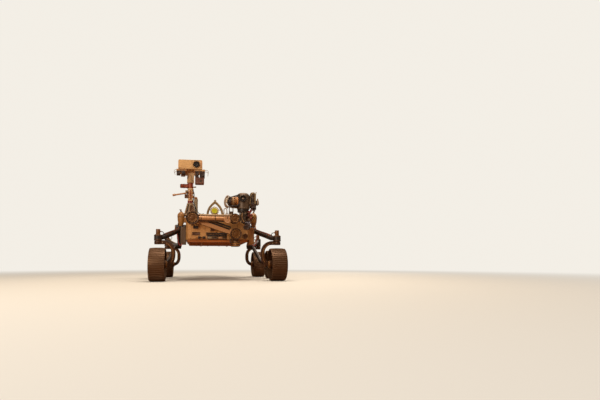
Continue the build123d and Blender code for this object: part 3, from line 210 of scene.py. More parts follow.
def finish(name, colour, second, rub, metallic, roughness, dust, grain=60.0, patch=3.0,
           bump=0.15, wear_share=0.6, rounding=0.0025, creases=0.0):
    """A layered material. Colours are 0 to 255, grain and patch are per metre."""
    material, tree = new_material(name)
    place = shade(tree, "TexCoord").outputs
    spot = place["Object"]
    drift = shade(tree, "TexNoise", Vector=spot, Scale=patch, Detail=5.0, Roughness=0.6)
    base = blend_colour(tree, ramp(tree, drift.outputs[0], 0.36, 0.64), linear(*colour),
                        linear(*second))
    fine = shade(tree, "TexNoise", Vector=spot, Scale=grain, Detail=8.0, Roughness=0.65).outputs[0]
    base = blend_colour(tree, 1.0, base, ramp(tree, fine, 0.3, 0.75, GRAIN_DARK, GRAIN_LIGHT),
                        "MULTIPLY")
    if rub:
        wide = shade(tree, "Bevel", samples=4, Radius=3.2 * rounding)
        facing = measure(tree, "DOT_PRODUCT", wide.outputs[0],
                         shade(tree, "NewGeometry").outputs["Normal"])
        chipped = maths(tree, "MULTIPLY", spread(tree, facing, 0.995, 0.90),
                        ramp(tree, fine, 0.42, 0.58))
        base = blend_colour(tree, maths(tree, "MULTIPLY", chipped, wear_share), base, linear(*rub))
    upward = shade(tree, "SeparateXYZ", place["Normal"]).outputs["Z"]
    settled = shade(tree, "TexNoise", Vector=spot, Scale=9.0, Detail=7.0, Roughness=0.7)
    veil = maths(tree, "MULTIPLY_ADD", spread(tree, upward, 0.25, 0.95), dust, 0.14 * dust)
    cover = maths(tree, "MULTIPLY", veil, ramp(tree, settled.outputs[0], 0.35, 0.68))
    base = blend_colour(tree, cover, base, DUST)
    rough = spread(tree, fine, 0.3, 0.7, To_Min=max(0.05, roughness - 0.10),
                   To_Max=min(1.0, roughness + 0.14))
    rounded = shade(tree, "Bevel", samples=4, Radius=rounding)
    relief = shade(tree, "Bump", Strength=bump, Distance=0.002, Height=fine,
                   Normal=rounded.outputs[0])
    if creases:
        bent = shade(tree, "TexNoise", Vector=spot, Scale=5.0, Detail=3.0)
        pushed = shade(tree, "VectorMath", bent.outputs["Color"], (0.12, 0.12, 0.12), spot,
                       operation="MULTIPLY_ADD")
        folds = shade(tree, "TexVoronoi", feature="DISTANCE_TO_EDGE", Vector=pushed.outputs[0],
                      Scale=11.0, Randomness=1.0)
        relief = shade(tree, "Bump", Strength=creases, Distance=0.012,
                       Height=folds.outputs["Distance"], Normal=relief.outputs[0])
    skin = shade(tree, "BsdfPrincipled", Metallic=metallic, Base_Color=base, Roughness=rough,
                 Normal=relief.outputs[0])
    shade(tree, "OutputMaterial", skin.outputs[0])
    paints[name] = material


# %% [markdown]
# The finishes, read off the photograph: tan and golden paint on the body, nearly
# black legs, brown anodised joints, grey tools and one yellow disc. Wheels are
# machined from one block of aluminium, so they are bare metal, scuffed on the
# cleats and browned by dust. The spokes keep a browner, duller surface.

# %% Finishes
# Name, colour, second colour, colour of rubbed edges, metallic, roughness, dust, other settings
FINISHES = (
    ("golden_panel", (218, 160, 96), (196, 136, 74), (228, 186, 130), 0.05, 0.42, 0.40,
     {"wear_share": 0.5, "bump": 0.12, "creases": 0.10}),
    ("body_film", (200, 146, 84), (170, 112, 55), (232, 196, 140), 0.25, 0.36, 0.35,
     {"wear_share": 0.4, "creases": 0.5}),
    ("belly_paint", (208, 122, 48), (184, 98, 32), (222, 156, 88), 0.10, 0.50, 0.10),
    ("deck_paint", (206, 172, 128), (184, 146, 104), (120, 96, 70), 0.0, 0.55, 0.70),
    ("tan_paint", (212, 162, 104), (190, 136, 80), (120, 80, 45), 0.0, 0.50, 0.35),
    ("grey_green", (94, 68, 44), (72, 50, 30), (140, 116, 84), 0.05, 0.50, 0.20,
     {"creases": 0.25}),
    ("box_ochre", (166, 104, 42), (134, 78, 26), (210, 160, 96), 0.10, 0.50, 0.25,
     {"creases": 0.25}),
    ("lobe_paint", (176, 124, 60), (142, 92, 38), (225, 190, 135), 0.10, 0.45, 0.25,
     {"creases": 0.35}),
    ("head_paint", (223, 174, 112), (211, 160, 100), (240, 205, 155), 0.0, 0.50, 0.50,
     {"grain": 90, "bump": 0.08}),
    ("mast_paint", (246, 206, 154), (232, 186, 130), (120, 85, 50), 0.0, 0.48, 0.35),
    ("cone_paint", (158, 130, 96), (132, 102, 72), (190, 160, 116), 0.10, 0.50, 0.35),
    ("leg_black", (32, 18, 12), (20, 12, 9), (104, 64, 32), 0.10, 0.42, 0.10),
    ("fork_brown", (76, 42, 18), (48, 25, 11), (176, 112, 48), 0.45, 0.38, 0.15,
     {"wear_share": 0.8}),
    ("motor_gold", (122, 74, 16), (98, 54, 10), (205, 150, 84), 0.25, 0.40, 0.12),
    ("drive_red", (166, 68, 24), (130, 46, 16), (90, 40, 25), 0.10, 0.45, 0.20),
    ("crimson", (150, 34, 28), (105, 22, 20), (70, 25, 20), 0.0, 0.45, 0.15),
    ("joint_brown", (88, 48, 16), (72, 38, 12), (205, 160, 96), 0.35, 0.40, 0.20,
     {"wear_share": 0.8}),
    ("joint_gold", (172, 110, 42), (136, 80, 26), (228, 184, 120), 0.45, 0.34, 0.25),
    # A darker copy of joint_gold: painted shade on the actuator covers.
    ("joint_gold_dark", (112, 68, 20), (92, 52, 13), (200, 150, 84), 0.35, 0.38, 0.15),
    ("rim_dark", (66, 34, 14), (42, 21, 9), (170, 116, 60), 0.35, 0.40, 0.15,
     {"wear_share": 0.8}),
    ("arm_tan", (200, 144, 96), (185, 130, 85), (130, 90, 55), 0.0, 0.52, 0.15),
    ("tool_grey", (106, 84, 64), (80, 62, 46), (175, 150, 118), 0.25, 0.42, 0.20),
    ("tool_dark", (58, 40, 30), (38, 26, 20), (150, 120, 88), 0.30, 0.40, 0.12),
    ("barrel_copper", (190, 122, 60), (152, 86, 34), (225, 180, 130), 0.35, 0.36, 0.25),
    ("camera_dark", (56, 30, 20), (36, 20, 13), (130, 90, 65), 0.10, 0.42, 0.12),
    ("pod_maroon", (116, 66, 46), (90, 46, 30), (170, 120, 88), 0.05, 0.50, 0.15),
    ("steel_blue", (98, 88, 94), (72, 62, 68), (150, 138, 134), 0.30, 0.42, 0.10),
    ("hoop_olive", (154, 126, 84), (126, 102, 64), (195, 176, 136), 0.25, 0.42, 0.30),
    ("antenna_cream", (160, 140, 110), (136, 116, 88), (120, 100, 80), 0.0, 0.50, 0.15),
    ("source_grey", (96, 88, 80), (70, 62, 56), (150, 138, 122), 0.30, 0.50, 0.50),
    ("guard_grey", (172, 150, 130), (146, 126, 108), (210, 192, 170), 0.15, 0.45, 0.12),
    ("bolt_metal", (160, 134, 98), (116, 92, 64), None, 0.80, 0.32, 0.20, {"grain": 200}),
    ("pipe_metal", (150, 126, 94), (112, 90, 64), None, 0.70, 0.35, 0.35, {"grain": 120}),
    ("cable_black", (32, 20, 14), (20, 13, 10), None, 0.0, 0.55, 0.12, {"grain": 300}),
    ("cable_tan", (196, 154, 102), (160, 116, 70), None, 0.0, 0.60, 0.35, {"grain": 300}),
    ("disc_yellow", (216, 208, 22), (200, 190, 16), None, 0.0, 0.35, 0.10, {"bump": 0.05}),
    ("pale_halo", (244, 226, 196), (232, 212, 178), None, 0.0, 0.50, 0.10),
    ("slot_black", (32, 20, 14), (18, 11, 8), None, 0.10, 0.35, 0.10),
    ("wheel_metal", (106, 76, 52), (88, 60, 38), (156, 128, 98), 0.7, 0.42, 0.04,
     {"grain": 240, "patch": 1.5, "bump": 0.03, "wear_share": 0.12, "rounding": 0.0015}),
    ("spoke_metal", (92, 56, 30), (58, 32, 16), (190, 142, 88), 0.7, 0.34, 0.2,
     {"grain": 70, "patch": 9.0, "bump": 0.2}),
)
for *looks, last in FINISHES:
    if isinstance(last, dict):
        finish(*looks, **last)
    else:
        finish(*looks, last)


def glassy(name, deep, sheen):
    """Dark coated glass: a deep body colour under a clear, bluish or reddish coat, and a painted
    sheen of that colour towards grazing angles.
    """
    material, tree = new_material(name)
    sheen_patches = shade(tree, "TexNoise", Vector=shade(tree, "TexCoord").outputs["Object"],
                  Scale=30.0, Detail=4.0)
    edge = shade(tree, "LayerWeight", Blend=0.35)
    # Painted sheen: the body colour turns to the sheen colour in patches at grazing angles.
    painted_sheen_share = maths(tree, "MULTIPLY", edge.outputs["Facing"], sheen_patches.outputs[0])
    skin = shade(tree, "BsdfPrincipled", Base_Color=blend_colour(tree, painted_sheen_share, deep, sheen),
                 Roughness=0.06, IOR=1.52, Coat_Weight=1.0, Coat_Roughness=0.03, Coat_Tint=sheen)
    shade(tree, "OutputMaterial", skin.outputs[0])
    paints[name] = material


glassy("lens_glass", linear(18, 14, 20), linear(88, 70, 96))
glassy("window_coating", linear(30, 8, 8), linear(86, 30, 30))

# %% [markdown]
# Some CAD parts carry two colours, such as a boom with a dark collar. Where the
# colour changes at a known place, one finish is laid over another by a mask on
# the object's own coordinates, and so the parts keep their meshes.

# %% Two colours on one part


def zoned(name, outer, inner, axis, low, high, *rounds):
    """Outer turns to inner where a coordinate is between low and high, but not in the rounds."""
    paints[name] = paints[outer].copy()
    paints[name].name = name
    tree = paints[name].node_tree
    spot = next(n for n in tree.nodes if n.type == "TEX_COORD").outputs["Object"]
    along = shade(tree, "SeparateXYZ", spot).outputs[axis]
    inside = maths(tree, "MULTIPLY", maths(tree, "GREATER_THAN", along, low),
                   maths(tree, "LESS_THAN", along, high))
    for x, z, radius in rounds:
        away = shade(tree, "VectorMath", spot, (x, 0, z), operation="SUBTRACT")
        level = shade(tree, "VectorMath", away.outputs[0], (1, 0, 1), operation="MULTIPLY")
        outside = maths(tree, "GREATER_THAN", measure(tree, "LENGTH", level.outputs[0]), radius)
        inside = maths(tree, "MULTIPLY", inside, outside)
    base, grained = [n for n in tree.nodes if n.type == "MIX"][:2]
    donor = next(n for n in paints[inner].node_tree.nodes if n.type == "MIX")
    colour = tuple(donor.inputs[6].default_value)
    feed(tree, grained.inputs[6], blend_colour(tree, inside, base.outputs[2], colour))


# Joint centres of the arm as x and z, with the radius of the housing round them
ELBOW, SHOULDER, WRIST_JOINT = (-0.430, 1.024, 0.112), (0.288, 0.775, 0.098), (0.262, 1.022, 0.086)
zoned("boom_two_tone", "arm_tan", "joint_brown", "X", -0.545, -0.505)
zoned("upper_arm_zones", "joint_brown", "arm_tan", "X", -0.400, 0.280, ELBOW, SHOULDER)
zoned("forearm_zones", "joint_brown", "arm_tan", "X", -0.400, 0.250, ELBOW, WRIST_JOINT)
zoned("barrel_zones", "tool_dark", "barrel_copper", "X", 0.222, 0.322)
zoned("mast_banded", "mast_paint", "crimson", "Z", 1.338, 1.378)
zoned("sides_two_tone", "grey_green", "box_ochre", "X", 0.0, 2.0)
zoned("disc_and_stem", "disc_yellow", "hoop_olive", "Z", 1.0, 1.236)

# %% Finishes on the CAD parts
COATS = {
    "body_film": "chassis_body", "deck_paint": "top_deck", "belly_paint": "belly_pan",
    "golden_panel": "front_panel", "sides_two_tone": "side_housings",
    "lobe_paint": "corner_housings",
    "leg_black": "rocker_right rocker_left bogie_right bogie_left differential_bar",
    "cone_paint": "mast_base deck_units antenna_base", "mast_banded": "mast_tube",
    "boom_two_tone": "weather_booms", "drive_red": "mast_turning_stage",
    "mast_paint": "mast_neck", "tan_paint": "camera_bar",
    "camera_dark": "mast_cameras hazard_cameras", "pod_maroon": "camera_pod",
    "head_paint": "mast_head", "window_coating": "head_window",
    "joint_brown": "arm_mount arm_shoulder", "upper_arm_zones": "upper_arm",
    "forearm_zones": "forearm", "tool_dark": "arm_wrist coring_drill source_mount",
    "tool_grey": "turret_body antenna_gimbal", "barrel_zones": "turret_barrel",
    "hoop_olive": "deck_hoop", "disc_and_stem": "deck_disc",
    "antenna_cream": "relay_antenna low_gain_antenna antenna_dish heat_plates",
    "source_grey": "power_source",
}
coat_of = {name: coat for coat, group in COATS.items() for name in group.split()}
for name, node in nodes.items():
    usual = "fork_brown" if name.startswith("steering_fork") else "wheel_metal"
    node.data.materials.clear()
    node.data.materials.append(paints[coat_of.get(name, usual)])
print("finishes", len(paints), "coated", len(nodes))

# %% [markdown]
# New pieces are modelled as by hand: a primitive at its size, then edit-mode
# tools on faces that are picked by their place, then modifiers that are applied.
# A few helpers keep the cells short. Each finished piece keeps its place in its
# mesh, with its object at the origin, so that its finish doesn't slide. Where a
# call ends in a starred name, that name holds the piece's body and its slot.

# %% Picking, editing and finishing a piece


def pick(obj=None):
    """Leaves one object selected and active, in object mode."""
    if bpy.context.mode != "OBJECT":
        bpy.ops.object.mode_set(mode="OBJECT")
    for other in bpy.context.selected_objects:
        other.select_set(False)
    if obj is not None:
        obj.select_set(True)
        bpy.context.view_layer.objects.active = obj


def edit(obj, action="DESELECT"):
    """Opens an object in edit mode with nothing or all selected."""
    pick(obj)
    bpy.ops.object.mode_set(mode="EDIT")
    bpy.ops.mesh.select_mode(type="VERT")
    bpy.ops.mesh.select_all(action=action)


def choose(obj, test, kind="FACE"):
    """Selects the faces, edges or vertices that pass a test on centre and element."""
    mesh = bmesh.from_edit_mesh(obj.data)
    for element in (*mesh.verts, *mesh.edges, *mesh.faces):
        element.select_set(False)
    found, centre_of = {
        "FACE": (mesh.faces, lambda face: face.calc_center_median()),
        "EDGE": (mesh.edges, lambda edge: (edge.verts[0].co + edge.verts[1].co) / 2),
        "VERT": (mesh.verts, lambda vertex: vertex.co),
    }[kind]
    for element in found:
        if test(centre_of(element), element):
            element.select_set(True)
    bmesh.update_edit_mesh(obj.data)


def face_outward():
    """Turns all normals of the open mesh outward and leaves edit mode."""
    bpy.ops.mesh.select_all(action="SELECT")
    bpy.ops.mesh.normals_make_consistent(inside=False)
    bpy.ops.object.mode_set(mode="OBJECT")


def settle(obj):
    """Moves the object's place, turn and scale into its mesh."""
    pick(obj)
    bpy.ops.object.transform_apply(location=True, rotation=True, scale=True)
    return obj


def modify(obj, kind, **settings):
    """Adds a modifier with its settings and applies it."""
    pick(obj)
    modifier = obj.modifiers.new(kind.lower(), kind)
    for key, value in settings.items():
        setattr(modifier, key, value)
    bpy.ops.object.modifier_apply(modifier=modifier.name)


def soften(obj, width, segments=2, angle=35):
    """Rounds the sharp edges and shades the rest smooth."""
    if width:
        modify(obj, "BEVEL", width=width, segments=segments, limit_method="ANGLE",
               angle_limit=radians(angle))
    pick(obj)
    bpy.ops.object.shade_smooth_by_angle(angle=radians(38))
    return obj


def merge(parts):
    """Joins pieces into one object."""
    pick(parts[0])
    for part in parts:
        part.select_set(True)
    if len(parts) > 1:
        bpy.ops.object.join()
    return bpy.context.view_layer.objects.active


def copied(obj, matrix):
    """A copy of a piece with a mesh of its own, moved by a matrix."""
    twin = obj.copy()
    twin.data = obj.data.copy()
    twin.data.transform(matrix)
    scene.collection.objects.link(twin)
    return twin


def scrap(obj):
    """Removes a piece that was only a pattern for copies."""
    bpy.data.objects.remove(obj, do_unlink=True)


def aimed(base, axis):
    """The matrix that takes +Z at the origin to an axis at a base point."""
    turn = Vector(UP).rotation_difference(Vector(axis).normalized())
    return Matrix.Translation(Vector(base)) @ turn.to_matrix().to_4x4()


def dress(made, name, coat, body, slot):
    """Gives a piece, or a list of pieces as one, its name, finish and body. The slot is not used.
    """
    if isinstance(made, list):
        made = merge(made)
    if made.matrix_basis != Matrix.Identity(4):
        settle(made)
    made.name = made.data.name = name
    made.data.materials.clear()
    made.data.materials.append(paints[coat])
    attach(made, body)
    return made


def raise_steps(way, steps, **settings):
    """Insets the selected faces or extrudes them, and moves them, step by step."""
    for inset, rise in steps:
        if inset:
            bpy.ops.mesh.inset(thickness=inset, **settings)
        else:
            bpy.ops.mesh.extrude_region_move()
        bpy.ops.transform.translate(value=Vector(way) * rise)


def drum(base, axis, radius, height, sides=40, soft=0.0015, steps=(), under=()):
    """A round part from a base along an axis. Steps are insets and rises on its caps."""
    pick()
    bpy.ops.mesh.primitive_cylinder_add(vertices=sides, radius=radius, depth=height,
                                        location=(0, 0, height / 2))
    made = settle(bpy.context.active_object)
    for cap, sign, moves in ((height, 1, steps), (0.0, -1, under)):
        if moves:
            edit(made)
            choose(made, lambda centre, face: abs(centre.z - cap) < 1e-6
                   and sign * face.normal.z > 0.9)
            raise_steps((0, 0, sign), moves, use_even_offset=False)
            bpy.ops.object.mode_set(mode="OBJECT")
    soften(made, soft)
    made.data.transform(aimed(base, axis))
    return made


def slab(corner, opposite, soft=0.003, side=FRONT, steps=()):
    """A rounded block between two corners, with insets and rises on one side."""
    low, high = Vector(corner), Vector(opposite)
    pick()
    bpy.ops.mesh.primitive_cube_add(size=1, location=(low + high) / 2)
    made = bpy.context.active_object
    made.scale = [abs(v) for v in high - low]
    settle(made)
    if steps:
        edit(made)
        choose(made, lambda centre, face: face.normal.dot(Vector(side)) > 0.9)
        raise_steps(side, steps)
        bpy.ops.object.mode_set(mode="OBJECT")
    return soften(made, soft)


def wire(points, radius, sides=2):
    """A bent rod of round section: a smooth curve through the room, made a mesh."""
    data = bpy.data.curves.new("wire", "CURVE")
    data.dimensions = "3D"
    data.bevel_depth = radius
    data.bevel_resolution = sides
    data.use_fill_caps = True
    data.resolution_u = 6
    spline = data.splines.new("NURBS")
    spline.points.add(len(points) - 1)
    for knot, point in zip(spline.points, points):
        knot.co = (*point, 1)
    spline.order_u = min(3, len(points))
    spline.use_endpoint_u = True
    made = bpy.data.objects.new("wire", data)
    scene.collection.objects.link(made)
    pick(made)
    bpy.ops.object.convert(target="MESH")
    bpy.ops.object.shade_smooth()
    return bpy.context.view_layer.objects.active


def bar(start, end, radius, sides=20):
    """A plain rod between two points, not yet dressed."""
    run = Vector(end) - Vector(start)
    return drum(start, run, radius, run.length, sides, min(0.0015, radius / 3))


def around(centre, axis, radius, count):
    """Places on a circle round an axis."""
    matrix = aimed(centre, axis)
    return [matrix @ Vector((radius * cos(a), radius * sin(a), 0))
            for a in (2 * pi * i / count for i in range(count))]


def flip(sign, *points):
    """Points of the left side, for the side of the sign."""
    return [(sign * x, y, z) for x, y, z in points]


def bolts(name, spots, axis, size, body, slot):
    """Hexagon heads on washers at several places, all turned one way."""
    head = drum((0, 0, size * 0.2), UP, size, size * 0.7, 6, size * 0.12,
                ((size * 0.35, 0), (size * 0.1, -size * 0.2)))
    washer = drum((0, 0, 0), UP, size * 1.4, size * 0.22, 14, 0)
    pattern = merge([head, washer])
    made = [copied(pattern, aimed(spot, axis)) for spot in spots]
    scrap(pattern)
    return dress(made, name, "bolt_metal", body, slot)


def cable(name, points, radius, coat, body, slot, sides=2):
    """A fixed cable or pipe."""
    return dress(wire(points, radius, sides), name, coat, body, slot)


def ring(name, centre, axis, radius, thick, coat, body, slot, sides=48):
    """A round ring of round section, laid on a part."""
    pick()
    bpy.ops.mesh.primitive_torus_add(major_radius=radius, minor_radius=thick,
                                     major_segments=sides, minor_segments=8)
    made = bpy.context.active_object
    made.matrix_world = aimed(centre, axis)
    bpy.ops.object.shade_smooth()
    return dress(made, name, coat, body, slot)


def bands(name, spots, axis, radius, length, coat, body, slot):
    """Short collars round tubes. Each spot is a centre, and all lie one way."""
    half = Vector(axis).normalized() * length / 2
    parts = [drum(Vector(spot) - half, axis, radius, length, 28, 0.0012, ((0.003, 0.0),))
             for spot in spots]
    return dress(parts, name, coat, body, slot)


# %% [markdown]
# A wheel of this kind is one thin drum, turned and milled from a block. It is a
# little barrel-shaped, its 48 cleats bow gently across it, and curved spring
# spokes hold it to a bolted hub. The drum starts as an open cylinder whose rings
# are drawn in towards both edges, and one cleat is modelled and spun round.

# %% Wheel drum and cleats
WHEEL_RADIUS = 0.2625
WHEEL_HALF = 0.125
WHEEL_AXLE_Z = 0.270
CLEATS = 48
CUTS = 10
CLEAT_BASE = WHEEL_RADIUS + 0.0022
CLEAT_HALF = WHEEL_HALF - 0.002
CLEAT_BOW = 0.011
TYRE_INSIDE = 0.2578
SIDEWAYS = (0, pi / 2, 0)


def crown(across):
    """How much of its full radius the drum keeps at a place across it."""
    return 1 - 0.026 * abs(across / WHEEL_HALF) ** 2.6


def runs_across(centre, edge):
    """True for edges that run across the wheel."""
    return abs(edge.verts[0].co.x - edge.verts[1].co.x) > 0.1


def tube(radius, width, thickness):
    """An open cylinder on the X axis, and the wall it is given inward later."""
    pick()
    bpy.ops.mesh.primitive_cylinder_add(vertices=96, radius=radius, depth=width,
                                        end_fill_type="NOTHING", rotation=SIDEWAYS)
    return settle(bpy.context.active_object), {"thickness": thickness, "offset": -1}


def spin_round(obj, count):
    """Copies a piece round the X axis, welds it and leaves it open."""
    edit(obj, "SELECT")
    bpy.ops.mesh.spin(steps=count, dupli=True, angle=2 * pi, center=(0, 0, 0), axis=LEFT)
    bpy.ops.mesh.select_all(action="SELECT")
    bpy.ops.mesh.remove_doubles(threshold=0.00005)


wheel_skin, wall = tube(WHEEL_RADIUS, 2 * WHEEL_HALF, 0.004)
edit(wheel_skin)
choose(wheel_skin, runs_across, "EDGE")
bpy.ops.mesh.subdivide(number_cuts=CUTS - 1)
for step in range(CUTS + 1):
    across = WHEEL_HALF * (2 * step / CUTS - 1)
    choose(wheel_skin, lambda centre, vertex: abs(centre.x - across) < 1e-4, "VERT")
    bpy.ops.transform.resize(value=(1, crown(across), crown(across)), center_override=(0, 0, 0))
choose(wheel_skin, lambda centre, edge: edge.is_boundary, "EDGE")
for shrink in (0.988, 0.985):
    bpy.ops.mesh.extrude_edges_move()
    bpy.ops.transform.resize(value=(1, shrink, shrink), center_override=(0, 0, 0))
face_outward()
modify(wheel_skin, "SOLIDIFY", **wall)
soften(wheel_skin, 0)

pick()
bpy.ops.mesh.primitive_cube_add(size=1, location=(0, 0, CLEAT_BASE))
cleat = bpy.context.active_object
cleat.scale = (2 * CLEAT_HALF, 0.0125, 0.0104)
settle(cleat)
edit(cleat)
choose(cleat, runs_across, "EDGE")
bpy.ops.mesh.subdivide(number_cuts=CUTS - 1)
choose(cleat, lambda centre, vertex: centre.z > CLEAT_BASE, "VERT")
bpy.ops.transform.resize(value=(1, 0.45, 1), center_override=(0, 0, WHEEL_RADIUS))
for step in range(CUTS + 1):
    across = CLEAT_HALF * (2 * step / CUTS - 1)
    choose(cleat, lambda centre, vertex: abs(centre.x - across) < 1e-4, "VERT")
    bow = CLEAT_BOW * (1 - (across / WHEEL_HALF) ** 2)
    bpy.ops.transform.translate(value=(0, bow, WHEEL_RADIUS * (crown(across) - 1)))
bpy.ops.object.mode_set(mode="OBJECT")
soften(cleat, 0.0012, 1, 30)
spin_round(cleat, CLEATS)
face_outward()
inner_ring, wall = tube(TYRE_INSIDE, 0.046, 0.012)
modify(inner_ring, "SOLIDIFY", **wall)
soften(inner_ring, 0.0015)
tread_pattern = merge([wheel_skin, cleat, inner_ring])
print("tread faces", len(tread_pattern.data.polygons))

# %% Spokes and hub
ARC_CENTRE = Vector((0, 0.1743, -0.0442))
ARC_RADIUS = 0.130
ARC_START, ARC_TURN, ARC_STEPS = 160.1, -106.8, 14
SPOKES = 8
pick()
bpy.ops.mesh.primitive_plane_add(size=1, location=(0, 0.052, 0),
                                 rotation=(radians(ARC_START), 0, 0))
spokes = bpy.context.active_object
spokes.scale = (0.040, 0.0085, 1)
settle(spokes)
edit(spokes, "SELECT")
bpy.ops.mesh.spin(steps=ARC_STEPS, angle=radians(ARC_TURN), center=ARC_CENTRE, axis=LEFT)
# The spoke narrows towards the middle of its arc.
for step in range(1, ARC_STEPS):
    turn = radians(ARC_START + ARC_TURN * step / ARC_STEPS)
    spot = ARC_CENTRE + ARC_RADIUS * Vector((0, cos(turn), sin(turn)))
    choose(spokes, lambda centre, vertex: (Vector((0, *centre.yz)) - spot).length < 0.006, "VERT")
    waist = 1 - 0.34 * sin(pi * step / ARC_STEPS)
    bpy.ops.transform.resize(value=(waist, 1, 1), center_override=spot)
face_outward()
soften(spokes, 0.0015, 1)
spin_round(spokes, SPOKES)
bpy.ops.object.mode_set(mode="OBJECT")
hub = drum((-0.028, 0, 0), LEFT, 0.056, 0.056, 48, 0.002,
           ((0.004, 0.004), (0.018, 0.0), (0.003, 0.010), (0.012, 0.0), (0.002, -0.004)),
           ((0.0304, 0.0), (0, -0.049)))
hub_bolt = drum((0, 0, 0), UP, 0.0042, 0.004, 6, 0.0004)
hub_bolts = [copied(hub_bolt, aimed(spot, LEFT)) for spot in around((0.032, 0, 0), LEFT, 0.044, 12)]
scrap(hub_bolt)
foot = slab((-0.017, 0.247, -0.014), (0.017, 0.2505, 0.014), 0.001)
foot.matrix_world = Matrix.Rotation(radians(13.4), 4, "X")
settle(foot)
feet = [copied(foot, Matrix.Rotation(2 * pi * i / SPOKES, 4, "X")) for i in range(1, SPOKES)]
spoke_pattern = merge([spokes, hub, *hub_bolts, foot, *feet])
print("spoke faces", len(spoke_pattern.data.polygons))

# %% Six wheels
# Place, side sign, x, y
WHEELS = (
    ("front_right", -1, 0.975, -1.230), ("front_left", 1, 0.975, -1.230),
    ("mid_right", -1, 1.110, -0.150), ("mid_left", 1, 1.110, -0.150),
    ("rear_right", -1, 0.975, 0.800), ("rear_left", 1, 0.975, 0.800),
)
for place, sign, wheel_x, wheel_y in WHEELS:
    outward = Matrix.Rotation(0 if sign > 0 else pi, 4, "Z")
    where = Matrix.Translation((sign * wheel_x, wheel_y, WHEEL_AXLE_Z)) @ outward
    for name, pattern, coat in (("tread_", tread_pattern, "wheel_metal"),
                                ("spokes_", spoke_pattern, "spoke_metal")):
        piece = dress(copied(pattern, where), name + place, coat, "rolling_" + place, "wheel_metal")
        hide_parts("wheel_" + place)
scrap(tread_pattern)
scrap(spoke_pattern)
print("wheels", len(WHEELS))

# %% [markdown]
# The legs are coated tubes with machined ends. On the real vehicle each steering
# housing has a gear motor in a gold sleeve on top, a ring of bolts where the
# housing closes, and cables clipped along the tube. A sleeve is one cylinder
# whose top is inset and raised, and the clips are short rings round the tube.

# %% Legs: motor sleeves, bolt rings, caps, clips and cables
LEG = ("root", "dark_tube")
# Steering stations: name, x, y, top of the housing, way the lead leaves
STEERED = (("front", 0.975, -1.230, 0.745, 1), ("rear", 0.975, 0.800, 0.815, -1))
# Pivot caps: name, centre, radius, height, sides, steps, finish, bolt circle, count, size
PIVOTS = (
    ("hub", (0.752, -0.250, 0.930), 0.074, 0.012, 56,
     ((0.010, 0.0), (0.002, -0.004), (0.030, 0.0), (0.002, 0.008)), "joint_gold",
     0.0685, 12, 0.0036),
    ("bogie", (0.830, 0.330, 0.640), 0.050, 0.010, 48,
     ((0.010, 0.0), (0.002, -0.003), (0.016, 0.0), (0.002, 0.006)), "joint_brown",
     0.045, 8, 0.0034),
)
# Cable runs along the tubes' middle lines, and how far above them the cables lie
CABLE_RISE = 0.047
RUNS = (
    ("rocker", ("cable_black", "drive_red"), (0.006, 0.005),
     ((0.700, -0.300, 0.920), (0.700, -0.560, 0.878), (0.700, -0.760, 0.845),
      (0.735, -0.880, 0.812), (0.800, -0.985, 0.777), (0.868, -1.110, 0.736),
      (0.905, -1.165, 0.712))),
    ("bogie", ("cable_black", "cable_tan"), (0.006, 0.006),
     ((0.800, 0.370, 0.655), (0.865, 0.520, 0.688), (0.920, 0.650, 0.730),
      (0.955, 0.735, 0.752))),
)
